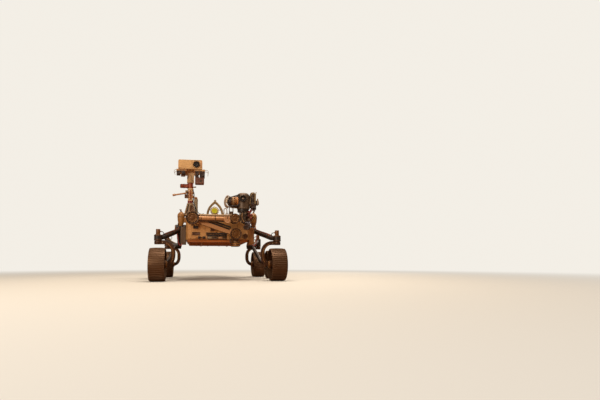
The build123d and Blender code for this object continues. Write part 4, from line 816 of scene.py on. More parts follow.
# Clips: name, start and run of the tube, shares of the run, radius, length
CLIPS = (
    ("rocker", (0.700, -0.250, 0.930), (0, -0.550, -0.092), (0.28, 0.52, 0.76), 0.0432, 0.016),
    ("arm", (0.700, -0.800, 0.838), (0.190, -0.350, -0.116), (0.35, 0.62, 0.86), 0.0434, 0.018),
    ("rear", (0.700, -0.250, 0.930), (-0.004, 0.580, -0.290), (0.25, 0.5, 0.75), 0.0432, 0.016),
    ("bogie", (0.785, 0.330, 0.640), (0.190, 0.470, 0.140), (0.35, 0.65), 0.0392, 0.016),
)
for side, sign in SIDES:
    outward, inward = (sign, 0, 0), (-sign, 0, 0)
    for end, wheel_x, wheel_y, top, way in STEERED:
        name = end + "_" + side
        x = sign * wheel_x
        sleeve = drum((x, wheel_y, top), UP, 0.0345, 0.0935, 40, 0.002,
                      ((0.006, 0.0), (0.002, -0.003), (0.010, 0.0), (0.001, 0.004)))
        foot = drum((x, wheel_y, top), UP, 0.046, 0.010)
        plug = drum((x - sign * 0.030, wheel_y, top + 0.055), inward, 0.011, 0.020, 20, 0.001,
                    ((0.003, -0.004),))
        dress([sleeve, foot, plug], "motor_sleeve_" + name, "motor_gold", *LEG)
        bolts("motor_bolts_" + name, around((x, wheel_y, top), UP, 0.0535, 10), UP, 0.0042, *LEG)
        bands("housing_bands_" + name, [(x, wheel_y, z) for z in (0.668, top - 0.014)], UP,
              0.0635, 0.012, "fork_brown", *LEG)
        cable("motor_lead_" + name,
              flip(sign, (wheel_x - 0.045, wheel_y, top + 0.055),
                   (wheel_x - 0.085, wheel_y + 0.01, top + 0.055),
                   (wheel_x - 0.095, wheel_y + 0.05 * way, top - 0.01),
                   (wheel_x - 0.075, wheel_y + 0.10 * way, top - 0.03)),
              0.006, "cable_black", *LEG)
    for name, centre, radius, height, sides, steps, coat, circle, count, size in PIVOTS:
        face, face_top = flip(sign, centre, (centre[0] + height, *centre[1:]))
        dress(drum(face, outward, radius, height, sides, 0.002, steps), name + "_cap_" + side,
              coat, *LEG)
        bolts(name + "_bolts_" + side, around(face_top, outward, circle, count), outward, size,
              *LEG)
    drive = drum((sign * 0.980, -0.150, 0.270), inward, 0.056, 0.018, 48, 0.002,
                 ((0.008, 0.0), (0.002, 0.010), (0.016, 0.0), (0.002, 0.004)))
    dress(drive, "mid_drive_" + side, "motor_gold", *LEG)
    for name, coats, radii, run in RUNS:
        for number, aside in enumerate((0.0, 0.015)):
            cable("%s_cable_%s_%d" % (name, side, number),
                  [(sign * (x - aside), y, z + CABLE_RISE) for x, y, z in run],
                  radii[number], coats[number], *LEG)
    for name, start, run, shares, radius, length in CLIPS:
        start, run = (Vector(v) for v in flip(sign, start, run))
        bands(name + "_clips_" + side, [start + run * share for share in shares], run, radius,
              length, "fork_brown", *LEG)
    dress([drum((sign * 0.690, -0.330, z), UP, 0.021, 0.034, 24, 0.004) for z in (1.002, 1.120)],
          "link_joints_" + side, "fork_brown", *LEG)
print("leg fittings in")

# %% [markdown]
# A steering fork is a bent machined beam. Gold strips along its edges paint the
# golden-brown highlights that show there, the wheel drive sits at its foot behind
# a bolted cover, and a cable follows its outer curve. The same pieces are made at
# each of the four forks, and they ride on the fork, so that they turn with it.

# %% Forks: drive covers, cables, edge strips of painted highlight
# The beam's middle line as x and z, and the line of the gold strips that paint highlights on its
# edges
FORK_LINE = ((0.930, 0.657), (0.885, 0.657), (0.812, 0.641), (0.755, 0.602), (0.716, 0.545),
             (0.700, 0.472), (0.700, 0.400), (0.712, 0.334), (0.746, 0.280), (0.800, 0.245),
             (0.842, 0.236))
HIGHLIGHT_LINE = [(x + (0.030 if z > 0.3 else 0.018), z - 0.030 * (z > 0.5) + 0.024 * (z < 0.3))
             for x, z in FORK_LINE[2:-2]]
for place, sign, wheel_x, wheel_y in WHEELS:
    if place.startswith("mid"):
        continue
    fork = ("fork_" + place, "fork_metal")
    facing = 1 if wheel_y < 0 else -1
    foot, inward = (sign * 0.845, wheel_y, 0.270), (-sign, 0, 0)
    cover = drum(foot, inward, 0.058, 0.016, 48, 0.002,
                 ((0.008, 0.0), (0.002, 0.008), (0.016, 0.0), (0.002, -0.004)))
    dress(cover, "drive_cover_" + place, "motor_gold", *fork)
    bolts("cover_bolts_" + place, around(foot, inward, 0.064, 12), inward, 0.0032, *fork)
    for number, (aside, coat) in enumerate(((-0.012, "cable_black"), (0.004, "crimson"))):
        cable("fork_cable_%s_%d" % (place, number),
              [(sign * x, wheel_y + aside * facing, z) for x, z in FORK_LINE], 0.0055, coat, *fork)
    # Gold strips along both edges of the beam: painted highlight.
    highlight_strips = [wire([(sign * x, wheel_y + aside, z) for x, z in HIGHLIGHT_LINE], 0.004)
              for aside in (-0.0262, 0.0262)]
    dress(highlight_strips, "fork_edges_" + place, "joint_gold", *fork)
    bolts("fork_bolts_" + place,
          [(sign * x, wheel_y - 0.0250 * facing, 0.622) for x in (0.900, 0.950, 1.000)],
          (0, -facing, 0), 0.0050, *fork)
    bands("fork_collar_" + place, [(sign * wheel_x, wheel_y, 0.6235)], UP, 0.0585, 0.022,
          "fork_brown", *fork)
print("fork fittings in")

# %% [markdown]
# The front of the body is one painted panel with small windows, a dark slot,
# hatches and a few connectors. Each hatch is a thin plate with a raised frame.
# On the real thing these are machined covers over the electronics box.

# %% Front panel: slot, windows, hatches, seams
FILM = ("root", "gold_film")
PANEL_Y = -0.992


def plate(name, x, z, width, height, thick, coat, frame_width=0.0, deep=0.0):
    """A cover on the front panel. With a frame width its middle is sunk by a depth."""
    steps = ((frame_width, 0.0), (0.0015, -deep)) if frame_width else ()
    made = slab((x - width / 2, PANEL_Y - thick, z - height / 2),
                (x + width / 2, PANEL_Y + 0.001, z + height / 2), 0.002, FRONT, steps)
    dress(made, name, coat, *FILM)


plate("slot_strip", -0.024, 0.7835, 0.352, 0.056, 0.0025, "slot_black", 0.004, 0.001)
plate("slot_bar", -0.024, 0.783, 0.338, 0.012, 0.006, "joint_brown")
plate("window_shade", -0.012, 0.724, 0.330, 0.062, 0.0012, "slot_black")
# Lower windows: x, width, finish of the pane
WINDOWS = ((-0.142, 0.078, "antenna_cream"), (-0.050, 0.078, "tool_dark"),
           (0.042, 0.078, "arm_tan"), (0.118, 0.048, "tool_dark"))
for number, (x, width, coat) in enumerate(WINDOWS):
    plate("window_frame_%d" % number, x, 0.724, width + 0.008, 0.044, 0.004, "joint_brown",
          0.006, 0.003)
    plate("window_pane_%d" % number, x, 0.724, width - 0.010, 0.028, 0.0018, coat)
# Hatches on the raised pads: x, z, width, height, finish, frame width
HATCHES = (
    (-0.092, 0.864, 0.074, 0.062, "joint_brown", 0.008),
    (-0.370, 0.791, 0.132, 0.054, "joint_brown", 0.010),
    (-0.374, 0.898, 0.090, 0.046, "tool_dark", 0.008),
    (-0.024, 0.862, 0.034, 0.062, "joint_gold", 0.005),
    (0.090, 0.864, 0.094, 0.034, "golden_panel", 0.006),
    (-0.314, 0.722, 0.104, 0.030, "joint_gold", 0.005),
)
for number, (x, z, width, height, coat, frame_width) in enumerate(HATCHES):
    plate("hatch_%d" % number, x, z, width, height, 0.0115, coat, frame_width, 0.0008)
hexagon = drum((0.470, -0.999, 0.752), FRONT, 0.050, 0.006, 6, 0.001,
               ((0.010, 0.0), (0.002, -0.003)))
dress(hexagon, "hexagon", "joint_brown", *FILM)
rows = [(x, PANEL_Y, z) for z in (0.712, 1.082)
        for x in (-0.46, -0.38, -0.20, 0.02, 0.20, 0.36, 0.46)]
columns = [(x, PANEL_Y, z) for x in (-0.492, 0.492) for z in (0.78, 0.86, 0.94, 1.02)]
bolts("panel_bolts", rows + columns, FRONT, 0.0042, *FILM)
seams = [slab((x - 0.0015, PANEL_Y - 0.0008, 0.706), (x + 0.0015, PANEL_Y + 0.001, 1.088), 0)
         for x in (-0.452, -0.215, 0.335)]
dress(seams, "panel_seams", "joint_brown", *FILM)
# Small connectors at the panel's upper right corner: x, z, radius
SOCKETS = ((-0.440, 0.940, 0.013), (-0.405, 0.925, 0.012), (-0.365, 0.948, 0.010),
           (-0.325, 0.938, 0.012), (-0.296, 0.955, 0.010))
sockets = [drum((x, PANEL_Y, z), FRONT, radius, 0.020, 20, 0.001, ((0.003, -0.005),))
           for x, z, radius in SOCKETS]
dress(sockets, "panel_sockets", "tool_dark", *FILM)
# Leads from three of them over the panel's edge: socket, end x, end z, finish
LEAD_ENDS = ((0, -0.330, 1.090, "cable_black"), (2, -0.250, 1.085, "cable_tan"),
             (3, -0.180, 1.088, "crimson"))
for number, (socket, end_x, end_z, coat) in enumerate(LEAD_ENDS):
    x, z, radius = SOCKETS[socket]
    cable("panel_lead_%d" % number,
          [(x, PANEL_Y - 0.016, z), (x, PANEL_Y - 0.028, z), (x + 0.02, PANEL_Y - 0.022, z + 0.06),
           (end_x, PANEL_Y - 0.010, end_z), (end_x, PANEL_Y + 0.002, end_z + 0.012)],
          0.0045, coat, *FILM)
lip = slab((-0.512, -0.9515, 0.654), (0.512, -0.9425, 0.690), 0.003, FRONT,
           ((0.006, 0.0), (0.002, -0.003)))
dress(lip, "belly_lip", "belly_paint", "root", "belly_paint")
print("front panel dressed")

# %% [markdown]
# The flanks, back and underside can be seen from other sides, and the real box
# carries fluid pipes, access covers and stiffeners there. Pipes are curves with
# a round section. The covers are slabs with an inset, raised field.

# %% Body sides: pipes, covers, stiffeners
WARM = ("root", "warm_paint")
BELLY = ("root", "belly_paint")
# Covers on the flanks: y, z, width, height
FLANK_COVERS = ((-0.560, 0.870, 0.200, 0.250), (0.020, 0.900, 0.260, 0.220),
                (0.360, 0.900, 0.260, 0.240))
# Side boxes, a ribbed cover on the front face and one on the outer face: corners, way it faces
BOX_COVERS = (((0.552, -0.9545, 0.640), (0.616, -0.949, 0.885), FRONT),
              ((0.627, -0.925, 0.640), (0.6325, -0.735, 0.880), LEFT))
for side, sign in SIDES:
    face, outward = sign * 0.540, (sign, 0, 0)
    cover_top, post_top, pipe_x = (face + sign * rise for rise in (0.006, 0.012, 0.016))
    for number, (y, z, width, height) in enumerate(FLANK_COVERS):
        cover = slab((face, y - width / 2, z - height / 2),
                     (cover_top, y + width / 2, z + height / 2), 0.002, outward,
                     ((0.014, 0.0), (0.003, 0.004)))
        dress(cover, "side_cover_%s_%d" % (side, number), "body_film", *FILM)
        corners = [(cover_top, y + a * (width / 2 - 0.007), z + b * (height / 2 - 0.007))
                   for a in (-1, 0, 1) for b in (-1, 1)]
        bolts("cover_screws_%s_%d" % (side, number), corners, outward, 0.0032, *FILM)
    posts = [slab((face, y - 0.012, 0.700), (post_top, y + 0.012, 1.100), 0.002)
             for y in (-0.690, -0.420, -0.120, 0.190, 0.540)]
    dress(posts, "side_posts_" + side, "joint_gold", *FILM)
    for number, (z, bend) in enumerate(((0.722, 0.02), (0.744, 0.02), (1.052, -0.02),
                                        (1.074, -0.02))):
        foot_x = face + sign * 0.002
        cable("side_pipe_%s_%d" % (side, number),
              [(foot_x, -0.680, z + bend),
               *((pipe_x, y, z) for y in (-0.670, -0.200, 0.300, 0.600)),
               (foot_x, 0.612, z + bend)], 0.0065, "pipe_metal", *FILM)
    for number, (corner, opposite, way) in enumerate(BOX_COVERS):
        corner, opposite, way = flip(sign, corner, opposite, way)
        cover = slab(corner, opposite, 0.0015, way, ((0.008, 0.0), (0.002, -0.002)))
        dress(cover, "box_cover_%s_%d" % (side, number),
              "box_ochre" if sign > 0 else "grey_green", *WARM)
    cable("box_lead_" + side,
          flip(sign, (0.590, -0.945, 0.905), (0.590, -0.950, 0.930), (0.560, -0.960, 0.945),
               (0.545, -0.955, 0.900), (0.538, -0.950, 0.860)), 0.006, "cable_black", *WARM)
    cable("box_loop_" + side,
          flip(sign, (0.600, -0.930, 0.640), (0.602, -0.960, 0.600), (0.640, -0.965, 0.585),
               (0.668, -0.955, 0.640), (0.672, -0.930, 0.720), (0.690, -0.860, 0.790)),
          0.0075, "crimson", *WARM)
    ring("lobe_band_" + side, (sign * 0.628, -0.885, 1.078), UP, 0.0600, 0.0028, "joint_brown",
         *WARM)
    tip = drum((sign * 0.628, -0.885, 1.170), UP, 0.016, 0.012, 20, 0.003)
    stick = wire(flip(sign, (0.628, -0.885, 1.176), (0.640, -0.890, 1.195),
                      (0.652, -0.896, 1.214)), 0.008)
    dress([tip, stick], "lobe_stick_" + side, "grey_green", *WARM)
back = slab((-0.300, 0.650, 0.720), (0.300, 0.657, 1.080), 0.002, BACK,
            ((0.020, 0.0), (0.003, 0.004)))
dress(back, "back_cover", "golden_panel", *FILM)
bolts("back_bolts", [(x, 0.657, z) for x in (-0.29, -0.15, 0.15, 0.29)
                     for z in (0.730, 0.900, 1.070)], BACK, 0.0042, *FILM)
collar = drum((0, 0.652, 0.910), (0, 0.94, 0.342), 0.098, 0.026, 56, 0.003,
              ((0.012, 0.0), (0.002, 0.008)))
dress(collar, "source_collar", "tool_dark", "root", "fork_metal")
keels = [slab((x - 0.006, -0.900, 0.648), (x + 0.006, 0.560, 0.655), 0.002)
         for x in (-0.36, -0.12, 0.12, 0.36)]
dress(keels, "belly_keels", "belly_paint", *BELLY)
bolts("belly_bolts", [(x, y, 0.654) for x in (-0.24, 0.0, 0.24)
                      for y in (-0.85, -0.45, -0.05, 0.35)], DOWN, 0.006, *BELLY)
print("body sides dressed")

# %% [markdown]
# The mast is a tube on a cone, with a turning stage, a wide neck and the head on
# its camera bar. What shows on the real one is the small stuff: a flat cable that
# zigzags up the tube, clamps, connectors on the stage, screws and a seam on the
# head, deep lens barrels, and thin wire loops at both ends of the bar.

# %% Mast: flat cable, clamps, connectors
MAST_X, MAST_Y = -0.476, -0.780
MAST = ("root", "mast_paint")
STAGE = ("mast_stage", "drive_red")
NECK = ("mast_stage", "mast_paint")
FLAT_CABLE = ((-0.016, -0.0455, 1.398), (0.022, -0.0455, 1.416), (-0.020, -0.0455, 1.440),
              (0.020, -0.0595, 1.466), (-0.018, -0.0595, 1.488), (0.012, -0.0455, 1.506),
              (-0.010, -0.0595, 1.530), (0, -0.0455, 1.560))
SIDE_CABLE = ((0.046, -0.006, 1.590), (0.050, -0.010, 1.550), (0.064, -0.012, 1.520),
              (0.064, -0.012, 1.450), (0.050, -0.020, 1.400), (0.050, -0.024, 1.360),
              (0.078, -0.030, 1.310), (0.092, -0.030, 1.240), (0.100, -0.020, 1.160))


def on_mast(*points):
    """Points from the mast's axis, with their height over the ground."""
    return [(MAST_X + x, MAST_Y + y, z) for x, y, z in points]


def mast_bands(name, heights, radius, length, coat):
    """Collars round the mast."""
    bands(name, on_mast(*((0, 0, z) for z in heights)), UP, radius, length, coat, *MAST)


cable("mast_flat_cable", on_mast(*FLAT_CABLE), 0.0085, "drive_red", *MAST)
cable("mast_side_cable", on_mast(*SIDE_CABLE), 0.0075, "cable_black", *MAST)
mast_bands("mast_pale_rings", (1.333, 1.386), 0.0472, 0.008, "mast_paint")
mast_bands("mast_band_red", (1.358,), 0.0474, 0.038, "crimson")
mast_bands("mast_foot_ring", (1.133,), 0.1068, 0.010, "tool_grey")
bolts("mast_foot_bolts", around((MAST_X, MAST_Y, 1.125), UP, 0.117, 14), UP, 0.0055, *MAST)
# Boxes: name, corners from the mast's axis, rounding, steps on the front, finish, body and slot
BOXES = (
    ("sensor_box", (-0.100, -0.030, 1.430), (-0.040, 0.026, 1.494), 0.004,
     ((0.008, 0.0), (0.002, -0.003)), "joint_brown", MAST),
    ("boom_clamp", (-0.088, -0.020, 1.530), (-0.044, 0.016, 1.566), 0.004, (), "hoop_olive",
     MAST),
    ("cone_unit", (-0.006, -0.108, 1.180), (0.052, -0.062, 1.290), 0.006,
     ((0.009, 0.0), (0.002, -0.004)), "joint_brown", MAST),
    ("drive_cover", (-0.110, -0.046, 1.612), (-0.046, -0.030, 1.668), 0.004,
     ((0.007, 0.0), (0.002, -0.003)), "drive_red", STAGE),
)
for name, corner, opposite, soft, steps, coat, fixed in BOXES:
    dress(slab(*on_mast(corner, opposite), soft, FRONT, steps), name, coat, *fixed)
for number, (aside, coat) in enumerate(((-0.030, "cable_black"), (-0.044, "cable_tan"),
                                        (0.072, "cable_black"))):
    cable("cone_cable_%d" % number,
          on_mast((aside * 0.9, -0.066, 1.322), (aside * 1.3, -0.082, 1.250),
                  (aside * 1.8, -0.094, 1.180), (aside * 2.2, -0.120, 1.134),
                  (aside * 3.0, -0.150, 1.131)), 0.006, coat, *MAST)
drive_end, rim_far, rim_near, stage_top = on_mast(
    (-0.168, 0, 1.643), (-0.120, 0, 1.643), (-0.060, 0, 1.643), (0, 0, 1.690))
rims = [
    drum(drive_end, RIGHT, 0.031, 0.012, 36, 0.002, ((0.007, 0.0), (0.002, -0.004))),
    drum(rim_far, LEFT, 0.039, 0.016, 40, 0.002), drum(rim_near, LEFT, 0.041, 0.018, 40, 0.002),
    drum(stage_top, UP, 0.052, 0.010, 44, 0.002),
]
dress(rims, "stage_rims", "joint_brown", *STAGE)
bolts("stage_bolts", around(drive_end, RIGHT, 0.0335, 8), RIGHT, 0.0022, *STAGE)
connector = drum(*on_mast((0.044, -0.010, 1.622)), (1, -0.1, 0.1), 0.011, 0.056, 20, 0.002,
                 ((0.003, -0.006),))
dress(connector, "stage_connector", "hoop_olive", *STAGE)
NECK_CABLES = ((-0.046, "joint_brown"), (-0.028, "cable_tan"), (0.004, "joint_brown"),
               (0.014, "cable_black"), (0.040, "joint_brown"))
for number, (x, coat) in enumerate(NECK_CABLES):
    cable("neck_cable_%d" % number,
          on_mast((x, -0.0385, 1.705), (x * 0.8, -0.0385, 1.745), (x * 1.1, -0.0385, 1.790),
                  (x * 0.9, -0.0385, 1.845)), 0.0028, coat, *NECK)
neck_plates = [slab(*on_mast((low, -0.0400, foot), (high, -0.0375, top)), 0.0008)
               for low, high, foot, top in ((-0.058, -0.040, 1.760, 1.790),
                                            (0.030, 0.050, 1.715, 1.740))]
dress(neck_plates, "neck_plates", "joint_brown", *NECK)
print("mast fittings in")

# %% Head: bezel, seams, screws, cameras, wire loops
HEAD = ("mast_head_unit", "head_paint")
LENS = ("mast_head_unit", "lens_dark")
BAR = ("mast_head_unit", "warm_paint")
POD = ("mast_head_unit", "arm_joint")
HEAD_FACE = -0.955
WINDOW_X, WINDOW_Z = -0.375, 1.990
ring("window_ring", (WINDOW_X, -0.962, WINDOW_Z), FRONT, 0.0585, 0.0034, "joint_brown", *HEAD, 64)
stop = drum((WINDOW_X, -0.9525, WINDOW_Z), FRONT, 0.034, 0.0022, 48, 0.0006,
            ((0.010, 0.0), (0.001, -0.0015)))
dress(stop, "window_stop", "slot_black", "mast_head_unit", "window_glass")
bolts("window_bolts", around((WINDOW_X, HEAD_FACE, WINDOW_Z), FRONT, 0.071, 12), FRONT, 0.0028,
      *HEAD)


def on_head(left, right, low, high, rise, soft=0.001):
    """A thin plate on the head's front."""
    return slab((left, HEAD_FACE - rise, low), (right, HEAD_FACE + 0.001, high), soft)


dress(on_head(-0.312, -0.284, 1.934, 2.050, 0.0022), "head_end_plate", "arm_tan", *HEAD)
dress(on_head(-0.425, -0.318, 2.054, 2.066, 0.0020), "head_top_plate", "hoop_olive", *HEAD)
head_seams = [on_head(-0.448, -0.4462, 1.914, 2.066, 0.0006, 0),
              on_head(-0.680, -0.282, 1.9240, 1.9255, 0.0006, 0),
              slab((-0.6862, -0.800, 1.914), (-0.6845, -0.798, 2.050), 0)]
dress(head_seams, "head_seams", "joint_brown", *HEAD)
bolts("head_screws",
      [(x, HEAD_FACE, z) for x in (-0.668, -0.560, -0.462) for z in (1.933, 2.052)]
      + [(-0.296, HEAD_FACE, z) for z in (1.940, 2.044)], FRONT, 0.0030, *HEAD)
back_fins = [slab((-0.660 + 0.036 * i, -0.634, 1.930), (-0.654 + 0.036 * i, -0.620, 2.050), 0.001)
             for i in range(11)]
dress(back_fins, "head_back_fins", "head_paint", *HEAD)
side_pads = [slab((low, -0.900, 1.935), (high, -0.690, 2.045), 0.001, way,
                  ((0.012, 0.0), (0.001, -0.001)))
             for low, high, way in ((-0.6885, -0.685, RIGHT), (-0.277, -0.2735, LEFT))]
dress(side_pads, "head_side_pads", "mast_paint", *HEAD)
# Cameras: x, z, lens radius, back of the hood. The second lens swings close over
# the stage's drive, so its hood sits further back.
LENSES = ((-0.682, 1.844, 0.025, -0.951), (-0.598, 1.850, 0.019, -0.942),
          (-0.365, 1.836, 0.024, -0.951), (-0.275, 1.822, 0.032, -0.951))
for number, (x, z, radius, hood_y) in enumerate(LENSES):
    hood = drum((x, hood_y, z), FRONT, radius + 0.003, 0.010, 40, 0.001,
                ((0.004, 0.0), (0.001, -0.007)))
    dress(hood, "lens_hood_%d" % number, "camera_dark", *LENS)
    eye = drum((x, -0.9465, z), FRONT, radius - 0.007, 0.004, 36, 0.001,
               ((0.004, 0.0015), (0.004, 0.0008)))
    dress(eye, "lens_glass_%d" % number, "lens_glass", *LENS)
    reach = 0.75 * (radius + 0.001)
    bolts("camera_screws_%d" % number,
          [(x + a * reach, -0.9355, z + b * reach) for a in (-1, 1) for b in (-1, 1)],
          FRONT, 0.0020, *LENS)
wedge = slab((-0.640, -0.905, 1.788), (-0.572, -0.862, 1.826), 0.008)
knuckle = drum((-0.566, -0.885, 1.806), RIGHT, 0.018, 0.030, 28, 0.002)
dress([wedge, knuckle], "bar_bracket", "joint_brown", *BAR)
cable("pod_lead", ((-0.390, -0.890, 1.772), (-0.398, -0.905, 1.800), (-0.372, -0.912, 1.822),
                   (-0.340, -0.905, 1.790), (-0.330, -0.900, 1.768)), 0.005, "cable_black", *LENS)
pod_face = slab((-0.386, -0.9335, 1.668), (-0.253, -0.930, 1.750), 0.001, FRONT,
                ((0.010, 0.0), (0.002, -0.002)))
dress(pod_face, "pod_face", "pod_maroon", *POD)
pod_window = drum((-0.300, -0.9325, 1.706), FRONT, 0.020, 0.003, 32, 0.0006,
                  ((0.004, 0.0), (0.001, -0.0015)))
dress(pod_window, "pod_window", "tool_dark", *POD)
bolts("bar_bolts", [(x, -0.935, 1.895) for x in (-0.700, -0.640, -0.390, -0.320, -0.240)],
      FRONT, 0.0034, *BAR)
# Wire loops at the bar's ends as x and z, and the two depths they hang at
LOOPS = (((-0.714, 1.900), (-0.740, 1.906), (-0.757, 1.884), (-0.752, 1.852), (-0.742, 1.842)),
         ((-0.228, 1.902), (-0.200, 1.912), (-0.172, 1.892), (-0.168, 1.856), (-0.178, 1.830)))
for number, points in enumerate(LOOPS):
    for depth in (900, 770):
        cable("bar_wire_%d_%d" % (number, depth), [(x, -depth / 1000, z) for x, z in points],
              0.0034, "hoop_olive", *BAR)
print("head fittings in")

# %% [markdown]
# The arm lies folded across the front. Its joints are actuator housings: round
# boxes with a dark rim, a golden inner cover and a ring of bolts. Cables run
# along both arm tubes, in a tray on the upper one, because the real harness has
# to bend at each joint. Every piece rides on the link it is bolted to.

# %% Arm: actuator covers, harness, trays
ARM_Y = -1.190
SHOULDER_X, SHOULDER_Z = SHOULDER[:2]
FORE = ("arm_fore", "arm_paint")
UPPER = ("arm_upper", "arm_paint")
MOUNT = ("root", "arm_joint")
TURN = ("arm_shoulder_unit", "arm_joint")
# Covers: name, body and slot, x, front y, z, rim radius, inner radius
COVERS = (("elbow", FORE, -0.430, -1.300, 1.024, 0.104, 0.066),
          ("wrist", FORE, 0.262, -1.300, 1.022, 0.080, 0.052),
          ("shoulder", UPPER, 0.288, -1.221, 0.775, 0.092, 0.060))
for name, link, x, y, z, rim, inner in COVERS:
    edge = drum((x, y + 0.004, z), FRONT, rim + 0.0025, 0.012, 64, 0.002,
                ((0.007, 0.0), (0.002, -0.004)))
    dress(edge, name + "_rim", "rim_dark", *link)
    # The covers take the darker copy of the joint gold: painted shade.
    cap = drum((x, y, z), FRONT, inner, 0.013, 56, 0.002,
               ((0.008, 0.0), (0.002, -0.005), (0.020, 0.0), (0.003, 0.006)))
    dress(cap, name + "_cover", "joint_gold_dark", *link)
    ring(name + "_ring", (x, y - 0.010, z), FRONT, inner + 0.006, 0.0034, "joint_gold", *link, 56)
    bolts(name + "_bolts", around((x, y - 0.004, z), FRONT, (rim + inner) / 2 + 0.004, 16), FRONT,
          0.0034, *link)
bands("forearm_bands",
      [(x, -1.263, 1.024 - 0.002 * (x + 0.430) / 0.692) for x in (-0.290, -0.060, 0.140)],
      LEFT, 0.0385, 0.014, "joint_brown", *FORE)
forearm_end = drum((0.140, -1.238, 0.998), FRONT, 0.056, 0.064, 48, 0.008,
                   ((0.016, 0.0), (0.003, -0.006), (0.014, 0.0), (0.003, 0.004)))
dress(forearm_end, "forearm_end", "arm_tan", *FORE)
bolts("forearm_end_bolts", around((0.140, -1.302, 0.998), FRONT, 0.045, 8), FRONT, 0.0030, *FORE)
for number, (down, radius, coat) in enumerate(((0.044, 0.0065, "cable_black"),
                                               (0.056, 0.005, "joint_brown"))):
    points = ((-0.350, 0.982), (-0.300, 1.022 - down), (-0.100, 1.022 - down),
              (0.100, 1.022 - down), (0.165, 1.018 - down), (0.205, 0.975))
    cable("forearm_cable_%d" % number, [(x, -1.268, z) for x, z in points], radius, coat, *FORE)
cable("forearm_top_cable",
      ((-0.360, -1.262, 1.096), (-0.320, -1.284, 1.058), (-0.100, -1.288, 1.056),
       (0.100, -1.288, 1.056), (0.180, -1.286, 1.060), (0.212, -1.272, 1.084)),
      0.005, "joint_brown", *FORE)
beam_start = Vector((SHOULDER_X, 0, SHOULDER_Z))
along = (Vector((ELBOW[0], 0, ELBOW[1])) - beam_start).normalized()
upright = Vector((-along.z, 0, along.x)) * (1 if along.x > 0 else -1)


def on_beam(*points):
    """Points by reach from the shoulder along the upper arm, rise above its middle, and y."""
    spots = [beam_start + along * reach + upright * rise for reach, rise, y in points]
    return [(spot.x, y, spot.z) for spot, (reach, rise, y) in zip(spots, points)]


tray = slab((0, -0.032, -0.032), (0.480, 0.028, 0.034))
strip = slab((0.004, -0.0328, -0.005), (0.476, -0.030, 0.009), 0.001)
beam_turn = Matrix(((along.x, 0, upright.x), (0, 1, 0), (along.z, 0, upright.z))).to_4x4()
tray_place = Matrix.Translation(on_beam((0.120, 0.0520, ARM_Y))[0]) @ beam_turn
for piece, coat, name in ((tray, "slot_black", "upper_tray"),
                          (strip, "joint_brown", "upper_tray_strip")):
    piece.data.transform(tray_place)
    dress(piece, name, coat, *UPPER)
for number, (y, radius, coat) in enumerate(((-1.205, 0.0050, "cable_tan"),
                                            (-1.188, 0.0055, "cable_black"))):
    points = ((0.070, 0.040), (0.110, 0.084), (0.350, 0.084), (0.590, 0.084), (0.640, 0.050),
              (0.670, 0.030))
    cable("upper_cable_%d" % number, on_beam(*((*point, y) for point in points)), radius, coat,
          *UPPER)
cable("upper_lower_cable",
      on_beam((0.110, -0.036, -1.2225), (0.170, -0.0445, -1.214), (0.400, -0.0450, -1.212),
              (0.600, -0.0450, -1.214), (0.640, -0.030, -1.2225)), 0.0045, "joint_brown", *UPPER)
shoulder_drum = drum((SHOULDER_X, -1.150, SHOULDER_Z), BACK, 0.086, 0.062, 56, 0.004,
                     ((0.010, 0.0), (0.003, 0.006), (0.030, 0.0), (0.002, -0.004)))
dress(shoulder_drum, "shoulder_drum", "joint_brown", *TURN)
bands("turn_rings", [(SHOULDER_X, ARM_Y, z) for z in (0.585, 0.614)], UP, 0.0745, 0.010,
      "joint_gold", *MOUNT)
# The upper arm dips between the two rows of these bolts.
circle = around((SHOULDER_X, ARM_Y, 0.675), UP, 0.059, 12)
bolts("turn_bolts", [spot for spot in circle if abs(spot.y - ARM_Y) > 0.045], UP, 0.0030, *TURN)
bolts("mount_bolts", [(x, -1.010, z) for x in (0.242, 0.334) for z in (0.700, 0.760)], FRONT,
      0.005, *MOUNT)
cable("arm_feed", ((0.215, -1.000, 0.700), (0.205, -1.030, 0.690), (0.205, -1.090, 0.640),
                   (0.215, -1.140, 0.610), (0.232, -1.160, 0.600)), 0.008, "cable_black", *MOUNT)
print("arm fittings in")

# %% [markdown]
# Between wrist and turret the photo is crowded: dark housings, red connectors, a
# blue-grey cylinder and looped leads. They are made here as a motor housing with
# ribs, a stack of round connectors in red plugs, and cables that start and end on
# the wrist. The housings' own blocks are in the CAD.

# %% Wrist: housings, connectors, leads
TURRET_X = 0.410
WRIST = ("arm_wrist_unit", "arm_joint")
plates = [slab((0.358, -1.2985, z), (0.434, -1.2945, z + 0.042), 0.0015, FRONT,
               ((0.006, 0.0), (0.0015, -0.002))) for z in (0.972, 1.024, 1.076)]
dress(plates, "wrist_plates", "tool_dark", *WRIST)
ribs = [slab((0.436, -1.290, 0.985 + 0.026 * i), (0.446, -1.232, 0.995 + 0.026 * i), 0.001)
        for i in range(5)]
rails = [slab((0.436, -1.280, z), (0.512, -1.244, z + 0.012), 0.002)
         for z in (0.990, 1.060, 1.112)]
rails += [slab((0.498, -1.284, 0.986), (0.508, -1.240, 1.126), 0.002),
          slab((0.440, -1.256, 0.986), (0.500, -1.250, 1.122), 0.002)]
dress(ribs + rails, "wrist_ribs", "fork_brown", *WRIST)
bands("column_bands", [(TURRET_X, ARM_Y, z) for z in (1.000, 1.130)], UP, 0.0520, 0.014,
      "joint_brown", *WRIST)
bands("flange_band", [(TURRET_X, ARM_Y, 1.164)], UP, 0.0985, 0.018, "slot_black", *WRIST)
bolts("flange_bolts", around((TURRET_X, ARM_Y, 1.141), DOWN, 0.084, 12), DOWN, 0.0040, *WRIST)
